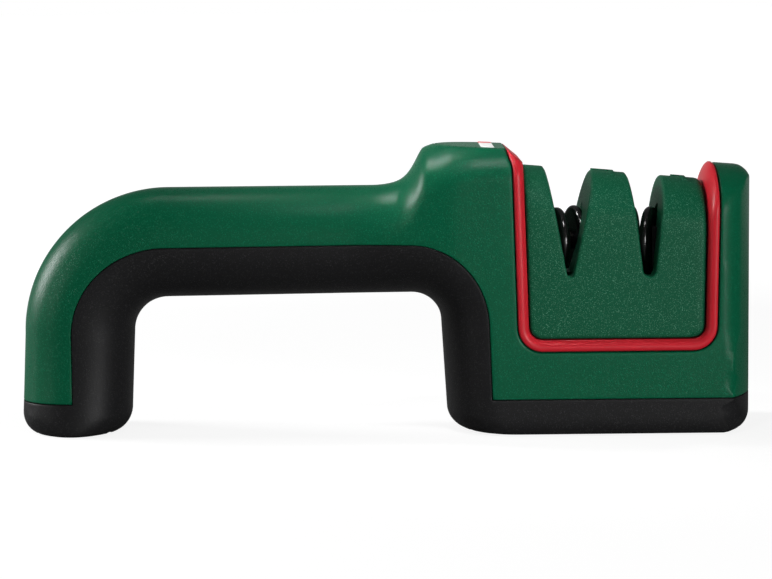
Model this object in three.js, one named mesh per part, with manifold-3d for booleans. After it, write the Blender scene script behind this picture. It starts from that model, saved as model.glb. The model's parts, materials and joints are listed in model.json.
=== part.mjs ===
// Two-stage hand-held knife sharpener: a bridge-shaped handle on a foot at the left, and a head at
// the right whose window holds a cover with two V slots and two crossed abrasive discs in each.
// Millimetres, +Z up, X along the length, Y through the depth. The floor is Z = 0.
import * as THREE from 'three';
import { mergeVertices } from 'three/addons/utils/BufferGeometryUtils.js';
import Module from 'manifold-3d';

const wasm = await Module();
wasm.setup();

// Overall
const halfLength = 103.5;
const seamGap = 0.3;        // between pieces that rest on or in each other
const overrun = 12;         // how far a cut runs past the faces that it opens
const shellWall = 2.2;
const weldDistance = 0.0001;
const thinEdge = 0.02;      // half the thickness left where a section runs out

// Handle, left leg and right leg: tubes round two bend centres
const handleHeight = 31;
const handleHalfDepth = 15;
const gripUnderside = 38.2;
const leftBendInnerRadius = 10;
const rightBendInnerRadius = 8.3;
const rightBendToWindow = 29.5;
const rightBendLift = 0.6;   // the grip's underside rises this much towards the head
const leftSplitReach = 26.5;  // the parting line's bends are ellipses round the tube's bend centres
const leftSplitRise = 24.9;
const rightSplitReach = 21.3;
const rightSplitRise = 23;
const rightSplitLean = 0.7;  // the parting line leans out this far down to the base
const footSplitHeight = 9.4;
const baseSplitHeight = 10.3;
const footSplay = 1.4;       // how far the left leg's walls lean out at the floor
const legSplay = 1.8;        // how far the right leg's inner wall leans in
const bottomFillet = 5;
const bottomInset = 3.4;
const bottomDepthShare = 0.4; // the fillet's inset in depth, against its inset along the length
const tubeExponent = 2.25;   // 2 is an ellipse, more is squarer
const archExponent = 2;
const floorThickness = 3;
const soleHeight = 0.25;     // the shell stands this far off the floor, on its pads

// Head
const headHalfDepth = 21;
const legRoundLength = 14.5;
const archHeight = 13;
const flareLead = 6.9;       // the head starts to widen this far before the shoulder
const flareLength = 31;
const capLead = 8;           // the arch over the head takes over from the grip's section in this length
const capEase = 0.05;        // and stands this far off it before
const shoulderLead = 18.1;   // the shoulder rises this far before the flat on the left post
const shoulderLength = 14.7;
const shoulderRise = 7.5;
const shoulderPower = 3.1;   // 1 rises evenly, more starts softer and ends steeper
const crownLength = 32;
const crownRise = 7.3;
const crownFallOffset = 2.7; // the top falls from this far past the window's left edge
const crownFallLength = 48;
const rightPostHeight = 74.8;
const postSlope = 0.08;
const facetLength = 22.3;    // the flat on the left post, up to the window
const facetDrop = 3.1;       // below the crown's top
const facetSlope = 0.045;
const endCornerRadius = 4;
const endBulge = 6.6;

// Window and its U-shaped trim
const rightPostWidth = 11.3;
const windowWidth = 54.9;    // between the trim's outer edges, at the bottom corners' height
const windowBottomZ = 23.75;
const windowDraft = 0.03;    // how much each side leans out per unit of height
const windowRightDraft = 0.018;
const windowCornerRadius = 6.8;
const trimSideWidth = 2.85;
const trimBottomWidth = 3;
const trimRightWidth = 2.8;
const trimProud = 0.4;
const trimEndDrop = 3.1;     // the left arm's end falls this much across its width
const trimEndStart = 0.5;    // and begins this far into the post beside it
const trimRoundDepth = 4.5;  // the right arm's top is rounded down this far to its inner side
const windowWall = 2;

// Cover with the two V slots
const coverHalfDepth = 19.4;
const coverTopZ = 74.8;      // at its left side
const coverTopSlope = 0.088;
const coverWall = 2;
const slotWall = 1.6;
const coarseSlotOffset = 14.4; // from the window's left edge
const coarseSlotFloorZ = 44.4;
const coarseSlotRadius = 1;
const coarseSlotLeftLean = 0.185;
const coarseSlotRightLean = 0.215;
const fineSlotOffset = 36.4;
const fineSlotFloorZ = 44.3;
const fineSlotRadius = 1.8;
const fineSlotLeftLean = 0.125;
const fineSlotRightLean = 0.11;

// Discs, their bushes and pins
const discRadius = 9.8;
const discThickness = 2.8;
const discEdgeRadius = 1.2;
const discCentreZ = 52.8;
const coarseToeIn = 12;      // degrees
const fineToeIn = 17;
const coarseSpread = 2.7;    // from the discs' middle, across
const fineSpread = 2.55;
const discStagger = 3.5;     // from the discs' middle, in depth
const fineDiscShift = 1;     // left of the slot's middle
const pinRadius = 1.5;
const pinHeadRadius = 2.6;
const pinHeadThickness = 0.9;
const runningClearance = 0.1;
const bushWall = 1.4;
const bushProud = 0.3;
const pocketClearance = 0.9;

// Disc carriers
const cheekThickness = 4.4;
const cheekWidth = 11;
const cheekTopMargin = 1.4;
const carrierPlateThickness = 2.5;
const carrierHalfDepth = 15.6;
const bossRadius = 2.3;
const bossOffsetX = 6.2;
const bossOffsetY = 10.4;

// Screws, pads and badge
const carrierScrewRadius = 1.2;
const carrierScrewLength = 9;
const baseScrewRadius = 1.5;
const baseScrewLength = 13;
const screwHeadRatio = 1.85;
const screwHeadHeight = 1.7;
const screwClearance = 0.25;
const driveDepth = 0.9;
const driveWidth = 0.7;
const driveShare = 0.6;      // of the head's radius
const baseBossRadius = 3.9;
const baseBossInset = 5.7;   // from the head's front and back faces
const leftBossOffset = 3.9;  // from the window's left edge
const rightBossOffset = 1.2; // from the window's right edge
const footBossInset = 8.5;   // from the left end
const padThickness = 1.3;
const basePadLeftInset = 4.7; // from the window's left edge
const basePadRightInset = 6.2;// from the window's right edge
const basePadHalfDepth = 15;
const padCornerRadius = 4;
const footPadInset = 15;     // from the left end
const footPadLength = 10;
const footPadHalfDepth = 6.5;
const badgeInset = 10;       // from the window's left edge
const badgeWidth = 3.7;
const badgeHalfDepth = 13;
const badgeThickness = 0.5;
const badgeSink = 0.3;

// Worked out from the sizes above
const windowRightX = halfLength - rightPostWidth;
const windowLeftX = windowRightX - windowWidth;
const facetX = windowLeftX - facetLength;
const shoulderStartX = facetX - shoulderLead;
const flareStartX = shoulderStartX - flareLead;
const crownFallX = windowLeftX + crownFallOffset;
const rightBendX = windowLeftX - rightBendToWindow;
const coarseSlotX = windowLeftX + coarseSlotOffset;
const fineSlotX = windowLeftX + fineSlotOffset;
const coarseDiscX = coarseSlotX;
const fineDiscX = fineSlotX - fineDiscShift;
const leftBossX = windowLeftX - leftBossOffset;
const rightBossX = windowRightX + rightBossOffset;
const footBossX = footBossInset - halfLength;
const basePadLeftX = windowLeftX + basePadLeftInset;
const basePadRightX = windowRightX - basePadRightInset;
const footPadLeftX = footPadInset - halfLength;
const badgeX = windowLeftX - badgeInset;
const leftBendOuterRadius = leftBendInnerRadius + handleHeight;
const leftBendZ = gripUnderside - leftBendInnerRadius;
const footLean = footSplay * (1 - bottomFillet / leftBendZ);
const leftBend = new THREE.Vector2(-halfLength + footLean + leftBendOuterRadius, leftBendZ);
const rightBend = new THREE.Vector2(rightBendX, gripUnderside + rightBendLift - rightBendInnerRadius);
const gripTop = gripUnderside + handleHeight;
const facetHeight = gripTop + shoulderRise + crownRise - facetDrop;
const endRadius = (headHalfDepth ** 2 + endBulge ** 2) / (2 * endBulge);
const trimInnerLeftX = windowLeftX + trimSideWidth;
const trimInnerRightX = windowRightX - trimRightWidth;
const trimInnerBottomZ = windowBottomZ + trimBottomWidth;
const trimInnerCornerRadius = windowCornerRadius - trimSideWidth;
const coverFloorZ = trimInnerBottomZ + seamGap;
const bushRadius = pinRadius + runningClearance + bushWall;
const cheekStart = discThickness / 2 + bushProud + runningClearance;
const carrierTopZ = coverFloorZ + carrierPlateThickness;
const bossStartZ = carrierTopZ + seamGap;
const carrierJointX = (coarseDiscX + fineDiscX) / 2;
const coverInnerLeftX = trimInnerLeftX + seamGap + coverWall;
const roofZ = facetHeight + overrun;

const green = new THREE.MeshStandardMaterial({ color: 0x0a5a38, roughness: 0.55, metalness: 0 });
const black = new THREE.MeshStandardMaterial({ color: 0x1b1b1c, roughness: 0.7, metalness: 0 });
const red = new THREE.MeshStandardMaterial({ color: 0xb3202c, roughness: 0.4, metalness: 0 });
const ceramic = new THREE.MeshStandardMaterial({ color: 0x111112, roughness: 0.25, metalness: 0 });
const grey = new THREE.MeshStandardMaterial({ color: 0x3a3b3d, roughness: 0.5, metalness: 0 });
const steel = new THREE.MeshStandardMaterial({ color: 0xa9acb0, roughness: 0.3, metalness: 1 });
const brass = new THREE.MeshStandardMaterial({ color: 0xb08a45, roughness: 0.35, metalness: 1 });
const rubber = new THREE.MeshStandardMaterial({ color: 0x141414, roughness: 0.9, metalness: 0 });
const white = new THREE.MeshStandardMaterial({ color: 0xeeeeec, roughness: 0.4, metalness: 0 });

const sharpener = new THREE.Group();

function solidOf(geometry) {
  const bare = geometry.index ? geometry.toNonIndexed() : geometry.clone();
  bare.deleteAttribute('normal');
  bare.deleteAttribute('uv');
  const merged = mergeVertices(bare, weldDistance);
  const mesh = new wasm.Mesh({
    numProp: 3,
    vertProperties: new Float32Array(merged.attributes.position.array),
    triVerts: new Uint32Array(merged.index.array),
  });
  return new wasm.Manifold(mesh);
}

function geometryOf(solid) {
  const mesh = solid.getMesh();
  const geometry = new THREE.BufferGeometry();
  geometry.setAttribute('position', new THREE.BufferAttribute(new Float32Array(mesh.vertProperties), 3));
  geometry.setIndex(new THREE.BufferAttribute(new Uint32Array(mesh.triVerts), 1));
  geometry.computeVertexNormals();
  return geometry;
}

function addPiece(name, solid, material, parent = sharpener) {
  const mesh = new THREE.Mesh(geometryOf(solid), material);
  mesh.name = name;
  parent.add(mesh);
  return mesh;
}

function joined(solids) {
  return solids.reduce((whole, solid) => whole.add(solid));
}

// Extrudes an XZ outline through the depth, from -halfDepth to +halfDepth.
function throughDepth(shape, halfDepth, curveSegments = 8) {
  const options = { depth: 2 * halfDepth, bevelEnabled: false, curveSegments };
  const geometry = new THREE.ExtrudeGeometry(shape, options);
  geometry.rotateX(Math.PI / 2);
  geometry.translate(0, halfDepth, 0);
  return solidOf(geometry);
}

// Extrudes an XY outline upwards, from one height to another.
function upwards(shape, fromZ, toZ, curveSegments = 6) {
  const options = { depth: toZ - fromZ, bevelEnabled: false, curveSegments };
  const geometry = new THREE.ExtrudeGeometry(shape, options);
  geometry.translate(0, 0, fromZ);
  return solidOf(geometry);
}

function block(lowX, highX, lowY, highY, lowZ, highZ) {
  const geometry = new THREE.BoxGeometry(highX - lowX, highY - lowY, highZ - lowZ);
  geometry.translate((lowX + highX) / 2, (lowY + highY) / 2, (lowZ + highZ) / 2);
  return solidOf(geometry);
}

function upright(radius, x, y, fromZ, toZ, sides = 16) {
  const geometry = new THREE.CylinderGeometry(radius, radius, toZ - fromZ, sides);
  geometry.rotateX(Math.PI / 2);
  geometry.translate(x, y, (fromZ + toZ) / 2);
  return solidOf(geometry);
}

function smoothStep(value) {
  return THREE.MathUtils.smoothstep(value, 0, 1);
}

// Height of the arch's top line over the length, with the shoulder, the crown and the rounded end.
function topHeight(x, inset = 0) {
  const along = THREE.MathUtils.clamp((x - shoulderStartX) / shoulderLength, 0, 1);
  const shoulder = shoulderRise * smoothStep(along ** shoulderPower);
  const crown = crownRise * smoothStep((x - shoulderStartX) / crownLength);
  const crownTop = gripTop + shoulder + crown;
  const fall = smoothStep((x - crownFallX) / crownFallLength);
  const postTop = rightPostHeight - postSlope * (x - windowRightX);
  const height = THREE.MathUtils.lerp(crownTop, postTop, fall) - inset;
  const past = Math.max(0, x + inset - (halfLength - endCornerRadius));
  return height - endCornerRadius + Math.sqrt(Math.max(0, endCornerRadius ** 2 - past ** 2));
}

// Rounding of a section: 0 at its edge, 1 where it has reached its full depth.
function roundedShare(distance, reach, exponent) {
  const share = THREE.MathUtils.clamp(distance / reach, 0, 1);
  return (1 - (1 - share) ** exponent) ** (1 / exponent);
}

function flareShare(x) {
  return smoothStep((x - flareStartX) / flareLength);
}

function splayAt(z, bend, splay) {
  return splay * Math.max(0, 1 - z / bend.y);
}

// Heights up a leg, each with how far the rounding at the floor draws the outline in there.
function legHeights(inset, floorZ, topZ, detail) {
  const heights = [];
  if (floorZ < bottomFillet) {
    for (let step = 0; step < 3; step += 1) {
      const turn = (step / 3) * Math.PI / 2;
      const z = floorZ + (bottomFillet - floorZ) * (1 - Math.cos(turn));
      heights.push([z, inset > 0 ? 0 : bottomInset * (1 - Math.sin(turn))]);
    }
  }
  const steps = Math.round(3 * detail);
  const startZ = Math.max(floorZ, bottomFillet);
  for (let step = 0; step <= steps; step += 1) {
    heights.push([THREE.MathUtils.lerp(startZ, topZ, step / steps), 0]);
  }
  return heights;
}

// Stations run from the left foot, round the bend, along the grip and fan down into the base.
// Each joins a point on the inner outline to one on the outer outline, or on the roof over the head.
function bodyStations(inset, floorZ, detail) {
  const stations = [];
  const addStation = (innerX, innerZ, outerX, outerZ, draw, isTube) => {
    const inner = new THREE.Vector2(innerX, innerZ);
    const outer = new THREE.Vector2(outerX, outerZ);
    stations.push({ inner, outer, draw, isTube });
  };
  const leftInnerX = leftBend.x - leftBendInnerRadius;
  const leftOuterX = leftBend.x - leftBendOuterRadius;
  for (const [z, draw] of legHeights(inset, floorZ, leftBend.y, detail).slice(0, -1)) {
    const lean = splayAt(z, leftBend, footSplay);
    addStation(leftInnerX - lean - inset - draw, z, leftOuterX - lean + inset + draw, z, draw, true);
  }
  const bendSteps = Math.round(9 * detail);
  for (let step = 0; step < bendSteps; step += 1) {
    const turn = Math.PI - (step / bendSteps) * Math.PI / 2;
    const innerRadius = leftBendInnerRadius + inset;
    const outerRadius = leftBendOuterRadius - inset;
    const cos = Math.cos(turn);
    const sin = Math.sin(turn);
    addStation(leftBend.x + innerRadius * cos, leftBend.y + innerRadius * sin,
      leftBend.x + outerRadius * cos, leftBend.y + outerRadius * sin, 0, true);
  }
  const liftSlope = rightBendLift / (rightBend.x - leftBend.x);
  const undersideAt = (x) => gripUnderside + liftSlope * (x - leftBend.x) + inset;
  for (const x of [leftBend.x, flareStartX - capLead]) {
    addStation(x, undersideAt(x), x, gripTop - inset, 0, true);
  }
  const flareSteps = Math.round(5 * detail);
  for (let step = 0; step < flareSteps; step += 1) {
    const x = THREE.MathUtils.lerp(flareStartX, rightBend.x, step / flareSteps);
    addStation(x, undersideAt(x), x, roofZ, 0, false);
  }
  const bendRadius = rightBendInnerRadius + inset;
  const reachX = halfLength - inset - rightBend.x;
  const reachZ = roofZ - rightBend.y;
  const cornerTurn = Math.atan2(reachZ, reachX);
  const spans = [
    [Math.PI / 2, cornerTurn, Math.round(8 * detail)],
    [cornerTurn, 0, Math.round(4 * detail)],
  ];
  for (const [fromTurn, toTurn, steps] of spans) {
    for (let step = 0; step < steps; step += 1) {
      const turn = THREE.MathUtils.lerp(fromTurn, toTurn, step / steps);
      const cos = Math.cos(turn);
      const sin = Math.sin(turn);
      const reach = Math.min(reachX / cos, reachZ / Math.max(sin, Number.EPSILON));
      addStation(rightBend.x + bendRadius * cos, rightBend.y + bendRadius * sin,
        rightBend.x + reach * cos, rightBend.y + reach * sin, 0, false);
    }
  }
  const rightInnerX = rightBend.x + rightBendInnerRadius;
  for (const [z, draw] of legHeights(inset, floorZ, rightBend.y, detail).reverse()) {
    const innerX = rightInnerX + splayAt(z, rightBend, legSplay) + inset + draw;
    addStation(innerX, z, halfLength - inset - draw, z, draw, false);
  }
  return stations;
}

// One station's ring: out along the front and back along the rear.
function stationRing(station, inset, detail) {
  const { inner, outer, draw, isTube } = station;
  const length = inner.distanceTo(outer);
  const along = outer.clone().sub(inner).divideScalar(length);
  const headShare = isTube ? 0 : flareShare(outer.x);
  const legRound = THREE.MathUtils.lerp(handleHeight / 2, legRoundLength, headShare);
  const innerReach = isTube ? length / 2 : Math.min(length / 2, legRound);
  const outerReach = isTube ? length / 2 : 0;
  const roundSteps = Math.round(5 * detail);
  const places = [];
  for (let step = 0; step < roundSteps; step += 1) {
    places.push(innerReach * (1 - Math.cos((step / roundSteps) * Math.PI / 2)));
  }
  for (let step = 0; step < roundSteps; step += 1) {
    const turn = (step / (roundSteps - (isTube ? 0 : 1))) * Math.PI / 2;
    const rounded = length - outerReach * (1 - Math.sin(turn));
    const share = step / (roundSteps - 1);
    places.push(isTube ? rounded : THREE.MathUtils.lerp(innerReach, length, share));
  }
  places.push(length);
  const last = places.length - 1;
  const points = places.map((place, step) => {
    const x = inner.x + along.x * place;
    const z = inner.y + along.y * place;
    const depth = THREE.MathUtils.lerp(handleHalfDepth, headHalfDepth, isTube ? 0 : flareShare(x));
    const innerShare = roundedShare(place, innerReach, tubeExponent);
    const outerShare = isTube ? roundedShare(length - place, outerReach, tubeExponent) : 1;
    const halfDepth = (depth - inset - draw * bottomDepthShare) * innerShare * outerShare;
    const isEnd = step === 0 || step === last;
    return { x, z, halfDepth: isEnd ? 0 : Math.max(halfDepth, thinEdge) };
  });
  const front = points.map((point) => [point.x, -point.halfDepth, point.z]);
  const rear = points.slice(1, -1).reverse().map((point) => [point.x, point.halfDepth, point.z]);
  return [...front, ...rear];
}

// A closed body through rings with the same number of points, each convex and
// counter-clockwise as seen along the way from the first ring to the last.
function ringSolid(rings) {
  const size = rings[0].length;
  const index = [];
  for (let ring = 0; ring < rings.length - 1; ring += 1) {
    const here = ring * size;
    const there = here + size;
    for (let side = 0; side < size; side += 1) {
      const next = (side + 1) % size;
      index.push(here + side, there + next, here + next);
      index.push(here + side, there + side, there + next);
    }
  }
  const lastStart = (rings.length - 1) * size;
  for (let side = 1; side < size - 1; side += 1) {
    index.push(0, side, side + 1);
    index.push(lastStart, lastStart + side + 1, lastStart + side);
  }
  const geometry = new THREE.BufferGeometry();
  geometry.setAttribute('position', new THREE.Float32BufferAttribute(rings.flat(2), 3));
  geometry.setIndex(index);
  return solidOf(geometry);
}

// Everything under an arch: sections along X, each a rounded top on straight sides.
function archSections(places, inset, detail, topAt) {
  const sides = Math.round(16 * detail);
  const rings = places.map((x) => {
    const share = flareShare(x);
    const depth = THREE.MathUtils.lerp(handleHalfDepth, headHalfDepth, share) - inset;
    const reach = THREE.MathUtils.lerp(handleHeight / 2, archHeight, share);
    const power = 2 / THREE.MathUtils.lerp(tubeExponent, archExponent, share);
    const springZ = topAt(x) - reach;
    const ring = [[x, depth + overrun, -overrun], [x, -depth - overrun, -overrun]];
    ring.push([x, -depth - overrun, springZ]);
    for (let side = 0; side <= sides; side += 1) {
      const turn = (side / sides) * Math.PI;
      const across = Math.sign(Math.cos(turn)) * Math.abs(Math.cos(turn)) ** power;
      ring.push([x, -depth * across, springZ + reach * Math.sin(turn) ** power]);
    }
    ring.push([x, depth + overrun, springZ]);
    return ring;
  });
  return ringSolid(rings);
}

function placesAlong(spans, detail) {
  const places = [];
  for (const [fromX, toX, count] of spans) {
    const steps = Math.round(count * detail);
    for (let step = 0; step < steps; step += 1) {
      places.push(THREE.MathUtils.lerp(fromX, toX, step / steps));
    }
  }
  places.push(spans[spans.length - 1][1]);
  return places;
}

function archCap(inset, detail) {
  const cornerX = halfLength - endCornerRadius - inset;
  const places = placesAlong([
    [flareStartX, shoulderStartX, 3],
    [shoulderStartX, facetX, 9],
    [facetX, windowLeftX, 4],
    [windowLeftX, trimInnerRightX, 4],
    [trimInnerRightX, cornerX, 3],
    [cornerX, halfLength - inset, 4],
  ], detail);
  const topAt = (x) => topHeight(x, inset) + (x < flareStartX ? capEase : 0);
  return archSections([-halfLength, flareStartX - capLead, ...places], inset, detail, topAt);
}

// Everything inside the head's bulged end: a vertical arc, drawn in at the floor.
function bulgedEnd(inset, floorZ, detail) {
  const farX = -halfLength - overrun;
  const wide = Math.asin((headHalfDepth + trimProud + seamGap) / endRadius);
  const steps = Math.round(12 * detail);
  const heights = [...legHeights(inset, floorZ, roofZ, 1 / 3), [roofZ + overrun, 0]];
  const rings = heights.map(([z, draw]) => {
    const centreX = halfLength - inset - draw - endRadius;
    const ring = [];
    for (let step = 0; step <= steps; step += 1) {
      const turn = THREE.MathUtils.lerp(wide, -wide, step / steps);
      ring.push([centreX + endRadius * Math.cos(turn), endRadius * Math.sin(turn), z]);
    }
    const y = endRadius * Math.sin(wide);
    return [[farX, y, z], ...ring, [farX, -y, z]];
  });
  return ringSolid(rings);
}

// The closed body between its inner and outer outlines, drawn in by an inset (out, if negative).
function bodySolid(inset, floorZ, detail = 1) {
  const rings = bodyStations(inset, floorZ, detail).map((station) => stationRing(station, inset, detail));
  return ringSolid(rings).intersect(archCap(inset, detail)).intersect(bulgedEnd(inset, floorZ, detail));
}

// XZ region under the parting line; grow moves its edge outwards.
function lowerRegion(grow) {
  const shape = new THREE.Shape();
  const farLeft = -halfLength - overrun;
  const farRight = halfLength + overrun;
  shape.moveTo(farLeft, -overrun);
  shape.lineTo(farRight, -overrun);
  shape.lineTo(farRight, baseSplitHeight + grow);
  const rightReach = rightSplitReach + grow;
  const leftReach = leftSplitReach + grow;
  shape.lineTo(rightBend.x + rightReach + rightSplitLean, baseSplitHeight + grow);
  shape.lineTo(rightBend.x + rightReach, rightBend.y);
  shape.absellipse(rightBend.x, rightBend.y, rightReach, rightSplitRise + grow, 0, Math.PI / 2, false, 0);
  shape.absellipse(leftBend.x, leftBend.y, leftReach, leftSplitRise + grow, Math.PI / 2, Math.PI, false, 0);
  shape.lineTo(leftBend.x - leftReach, footSplitHeight + grow);
  shape.lineTo(farLeft, footSplitHeight + grow);
  shape.closePath();
  return throughDepth(shape, headHalfDepth + overrun, 12);
}

// XZ outline of the window, from the bottom corners up past the top.
function windowShape(grow, leftX, rightX, bottomZ, radius) {
  const shape = new THREE.Shape();
  const leftAt = (z) => leftX - grow - windowDraft * (z - bottomZ);
  const rightAt = (z) => rightX + grow + windowRightDraft * (z - bottomZ);
  const corner = radius + grow;
  const lowZ = bottomZ - grow;
  shape.moveTo(leftAt(roofZ), roofZ);
  shape.lineTo(leftAt(lowZ + corner), lowZ + corner);
  shape.absarc(leftAt(lowZ + corner) + corner, lowZ + corner, corner, Math.PI, 1.5 * Math.PI, false);
  shape.absarc(rightAt(lowZ + corner) - corner, lowZ + corner, corner, 1.5 * Math.PI, 2 * Math.PI, false);
  shape.lineTo(rightAt(roofZ), roofZ);
  shape.closePath();
  return shape;
}

function windowCut(grow) {
  const shape = windowShape(grow, windowLeftX, windowRightX, windowBottomZ, windowCornerRadius);
  return throughDepth(shape, headHalfDepth + overrun, 5);
}

function trimBore(grow) {
  const shape = windowShape(grow, trimInnerLeftX, trimInnerRightX, trimInnerBottomZ, trimInnerCornerRadius);
  return throughDepth(shape, headHalfDepth + overrun, 4);
}

// Everything above the flat on the left post's top.
function aboveFacet(raise) {
  const shape = new THREE.Shape();
  const startX = shoulderStartX;
  const endX = windowRightX;
  const facetAt = (x) => facetHeight + raise - facetSlope * (x - facetX);
  shape.moveTo(startX, facetAt(startX));
  shape.lineTo(endX, facetAt(endX));
  shape.lineTo(endX, facetAt(endX) + overrun);
  shape.lineTo(startX, facetAt(startX) + overrun);
  shape.closePath();
  return throughDepth(shape, headHalfDepth + overrun);
}

function screwPlaces() {
  const depth = headHalfDepth - baseBossInset;
  return [
    ['front_left', leftBossX, -depth],
    ['front_right', rightBossX, -depth],
    ['rear_left', leftBossX, depth],
    ['rear_right', rightBossX, depth],
  ];
}

function roundedRectangle(lowX, highX, halfDepth, radius) {
  const shape = new THREE.Shape();
  shape.moveTo(lowX + radius, -halfDepth);
  shape.lineTo(highX - radius, -halfDepth);
  shape.absarc(highX - radius, -halfDepth + radius, radius, -Math.PI / 2, 0, false);
  shape.absarc(highX - radius, halfDepth - radius, radius, 0, Math.PI / 2, false);
  shape.absarc(lowX + radius, halfDepth - radius, radius, Math.PI / 2, Math.PI, false);
  shape.absarc(lowX + radius, -halfDepth + radius, radius, Math.PI, 1.5 * Math.PI, false);
  shape.closePath();
  return shape;
}

function basePadSolid(grow, fromZ, toZ) {
  const halfDepth = basePadHalfDepth + grow;
  const shape = roundedRectangle(basePadLeftX - grow, basePadRightX + grow, halfDepth, padCornerRadius);
  return upwards(shape, fromZ, toZ);
}

function footPadSolid(grow, fromZ, toZ) {
  const rightX = footPadLeftX + footPadLength + grow;
  const shape = roundedRectangle(footPadLeftX - grow, rightX, footPadHalfDepth + grow, padCornerRadius);
  return upwards(shape, fromZ, toZ);
}

// Screw with its head down, driven upwards; the drive is a cross.
function screwSolid(radius, length, x, y, headZ) {
  const headRadius = radius * screwHeadRatio;
  const head = upright(headRadius, x, y, headZ, headZ + screwHeadHeight, 12);
  const shank = upright(radius, x, y, headZ + screwHeadHeight / 2, headZ + screwHeadHeight + length, 8);
  const arm = headRadius * driveShare;
  const half = driveWidth / 2;
  const slots = block(x - arm, x + arm, y - half, y + half, headZ - overrun, headZ + driveDepth)
    .add(block(x - half, x + half, y - arm, y + arm, headZ - overrun, headZ + driveDepth));
  return head.add(shank).subtract(slots);
}

const baseHeadZ = baseSplitHeight - seamGap - shellWall - screwHeadHeight - seamGap;
const footHeadZ = footSplitHeight - seamGap - shellWall - screwHeadHeight - seamGap;
const outerBody = bodySolid(0, soleHeight);
const hollowBody = bodySolid(shellWall, soleHeight + floorThickness, 0.55);
const liningRoom = windowCut(seamGap + windowWall);

function pilotHoles(places, radius, fromZ, toZ) {
  return joined(places.map(([, x, y]) => upright(radius, x, y, fromZ, toZ, 12)));
}

function makeUpperShell() {
  const bosses = screwPlaces().map(([, x, y]) =>
    upright(baseBossRadius, x, y, baseSplitHeight, baseSplitHeight + baseScrewLength, 16));
  const footBossTop = footSplitHeight + baseScrewLength;
  const footBoss = upright(baseBossRadius, footBossX, 0, footSplitHeight, footBossTop, 16);
  const footRib = block(-halfLength + shellWall / 2, footBossX, -shellWall / 2, shellWall / 2,
    footSplitHeight, footBossTop);
  const kept = joined([...bosses, footBoss, footRib]).intersect(outerBody);
  const hollow = hollowBody.subtract(liningRoom).subtract(aboveFacet(-shellWall)).subtract(kept);
  const pilotTop = baseSplitHeight + baseScrewLength - shellWall;
  const holes = pilotHoles([...screwPlaces(), ['foot', footBossX, 0]],
    baseScrewRadius + screwClearance, -overrun, pilotTop);
  const badgeSeat = badgeSolid(seamGap / 2, -badgeSink, overrun);
  return outerBody.subtract(hollow).subtract(lowerRegion(seamGap / 2)).subtract(windowCut(seamGap))
    .subtract(aboveFacet(0)).subtract(leftEndCut()).subtract(holes).subtract(badgeSeat);
}

function makeLowerShell() {
  const hollowFloor = soleHeight + floorThickness;
  const bosses = screwPlaces().map(([, x, y]) =>
    upright(baseBossRadius, x, y, hollowFloor / 2, baseSplitHeight, 16));
  const footBoss = upright(baseBossRadius, footBossX, 0, hollowFloor / 2, footSplitHeight, 16);
  const kept = joined([...bosses, footBoss]).intersect(outerBody);
  const hollow = hollowBody.subtract(kept);
  const headRadius = baseScrewRadius * screwHeadRatio + screwClearance;
  const sinks = joined([
    ...screwPlaces().map(([, x, y]) =>
      upright(headRadius, x, y, -overrun, baseHeadZ + screwHeadHeight + screwClearance, 20)),
    upright(headRadius, footBossX, 0, -overrun, footHeadZ + screwHeadHeight + screwClearance, 20),
  ]);
  const holes = pilotHoles([...screwPlaces(), ['foot', footBossX, 0]],
    baseScrewRadius + screwClearance, -overrun, baseSplitHeight + overrun);
  const padTop = padThickness + seamGap;
  return outerBody.subtract(hollow).intersect(lowerRegion(-seamGap / 2)).subtract(sinks).subtract(holes)
    .subtract(basePadSolid(seamGap, -overrun, padTop)).subtract(footPadSolid(seamGap, -overrun, padTop));
}

// The left arm's end slopes down across its width, from a little way into the post beside it.
function leftEndCut() {
  const shape = new THREE.Shape();
  const topZ = facetHeight - facetSlope * (windowLeftX - facetX);
  const startX = windowLeftX - windowDraft * (topZ - windowBottomZ) - trimEndStart;
  const fall = trimEndDrop / trimSideWidth;
  shape.moveTo(startX, topZ);
  shape.lineTo(startX + overrun, topZ - overrun * fall);
  shape.lineTo(startX + overrun, topZ + overrun);
  shape.lineTo(startX, topZ + overrun);
  shape.closePath();
  return throughDepth(shape, headHalfDepth + overrun);
}

// The arch over the trim, rounded down to the right arm's inner side.
function trimCap() {
  const endX = windowRightX + windowRightDraft * (rightPostHeight - windowBottomZ);
  const startX = endX - trimRightWidth - trimProud;
  const places = placesAlong([
    [shoulderStartX, windowLeftX, 1],
    [windowLeftX, startX, 3],
    [startX, endX, 5],
    [endX, halfLength, 1],
  ], 1);
  const topAt = (x) => {
    const inward = THREE.MathUtils.clamp((endX - x) / (endX - startX), 0, 1);
    const ease = smoothStep((x - carrierJointX) / (startX - carrierJointX));
    return topHeight(x) - trimRoundDepth * inward ** 2 * ease;
  };
  return archSections(places, -trimProud, 1, topAt);
}

function makeTrimFrame() {
  return bodySolid(-trimProud, soleHeight).intersect(trimCap()).intersect(windowCut(0))
    .subtract(trimBore(0)).subtract(leftEndCut());
}

// An arch section in YZ, extruded along X with its top falling towards +X.
function archSolid(halfDepth, topZ, floorZ) {
  const shape = new THREE.Shape();
  const springZ = topZ - archHeight;
  shape.moveTo(-halfDepth, floorZ);
  shape.lineTo(halfDepth, floorZ);
  shape.lineTo(halfDepth, springZ);
  shape.absellipse(0, springZ, halfDepth, archHeight, 0, Math.PI, false, 0);
  shape.closePath();
  const startX = windowLeftX;
  const geometry = new THREE.ExtrudeGeometry(shape, {
    depth: windowRightX - windowLeftX, bevelEnabled: false, curveSegments: 20,
  });
  const position = geometry.attributes.position;
  for (let point = 0; point < position.count; point += 1) {
    const y = position.getX(point);
    const z = position.getY(point);
    const along = position.getZ(point);
    const fall = z > floorZ + archHeight / 2 ? coverTopSlope * along : 0;
    position.setXYZ(point, startX + along, y, z - fall);
  }
  return solidOf(geometry);
}

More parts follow.
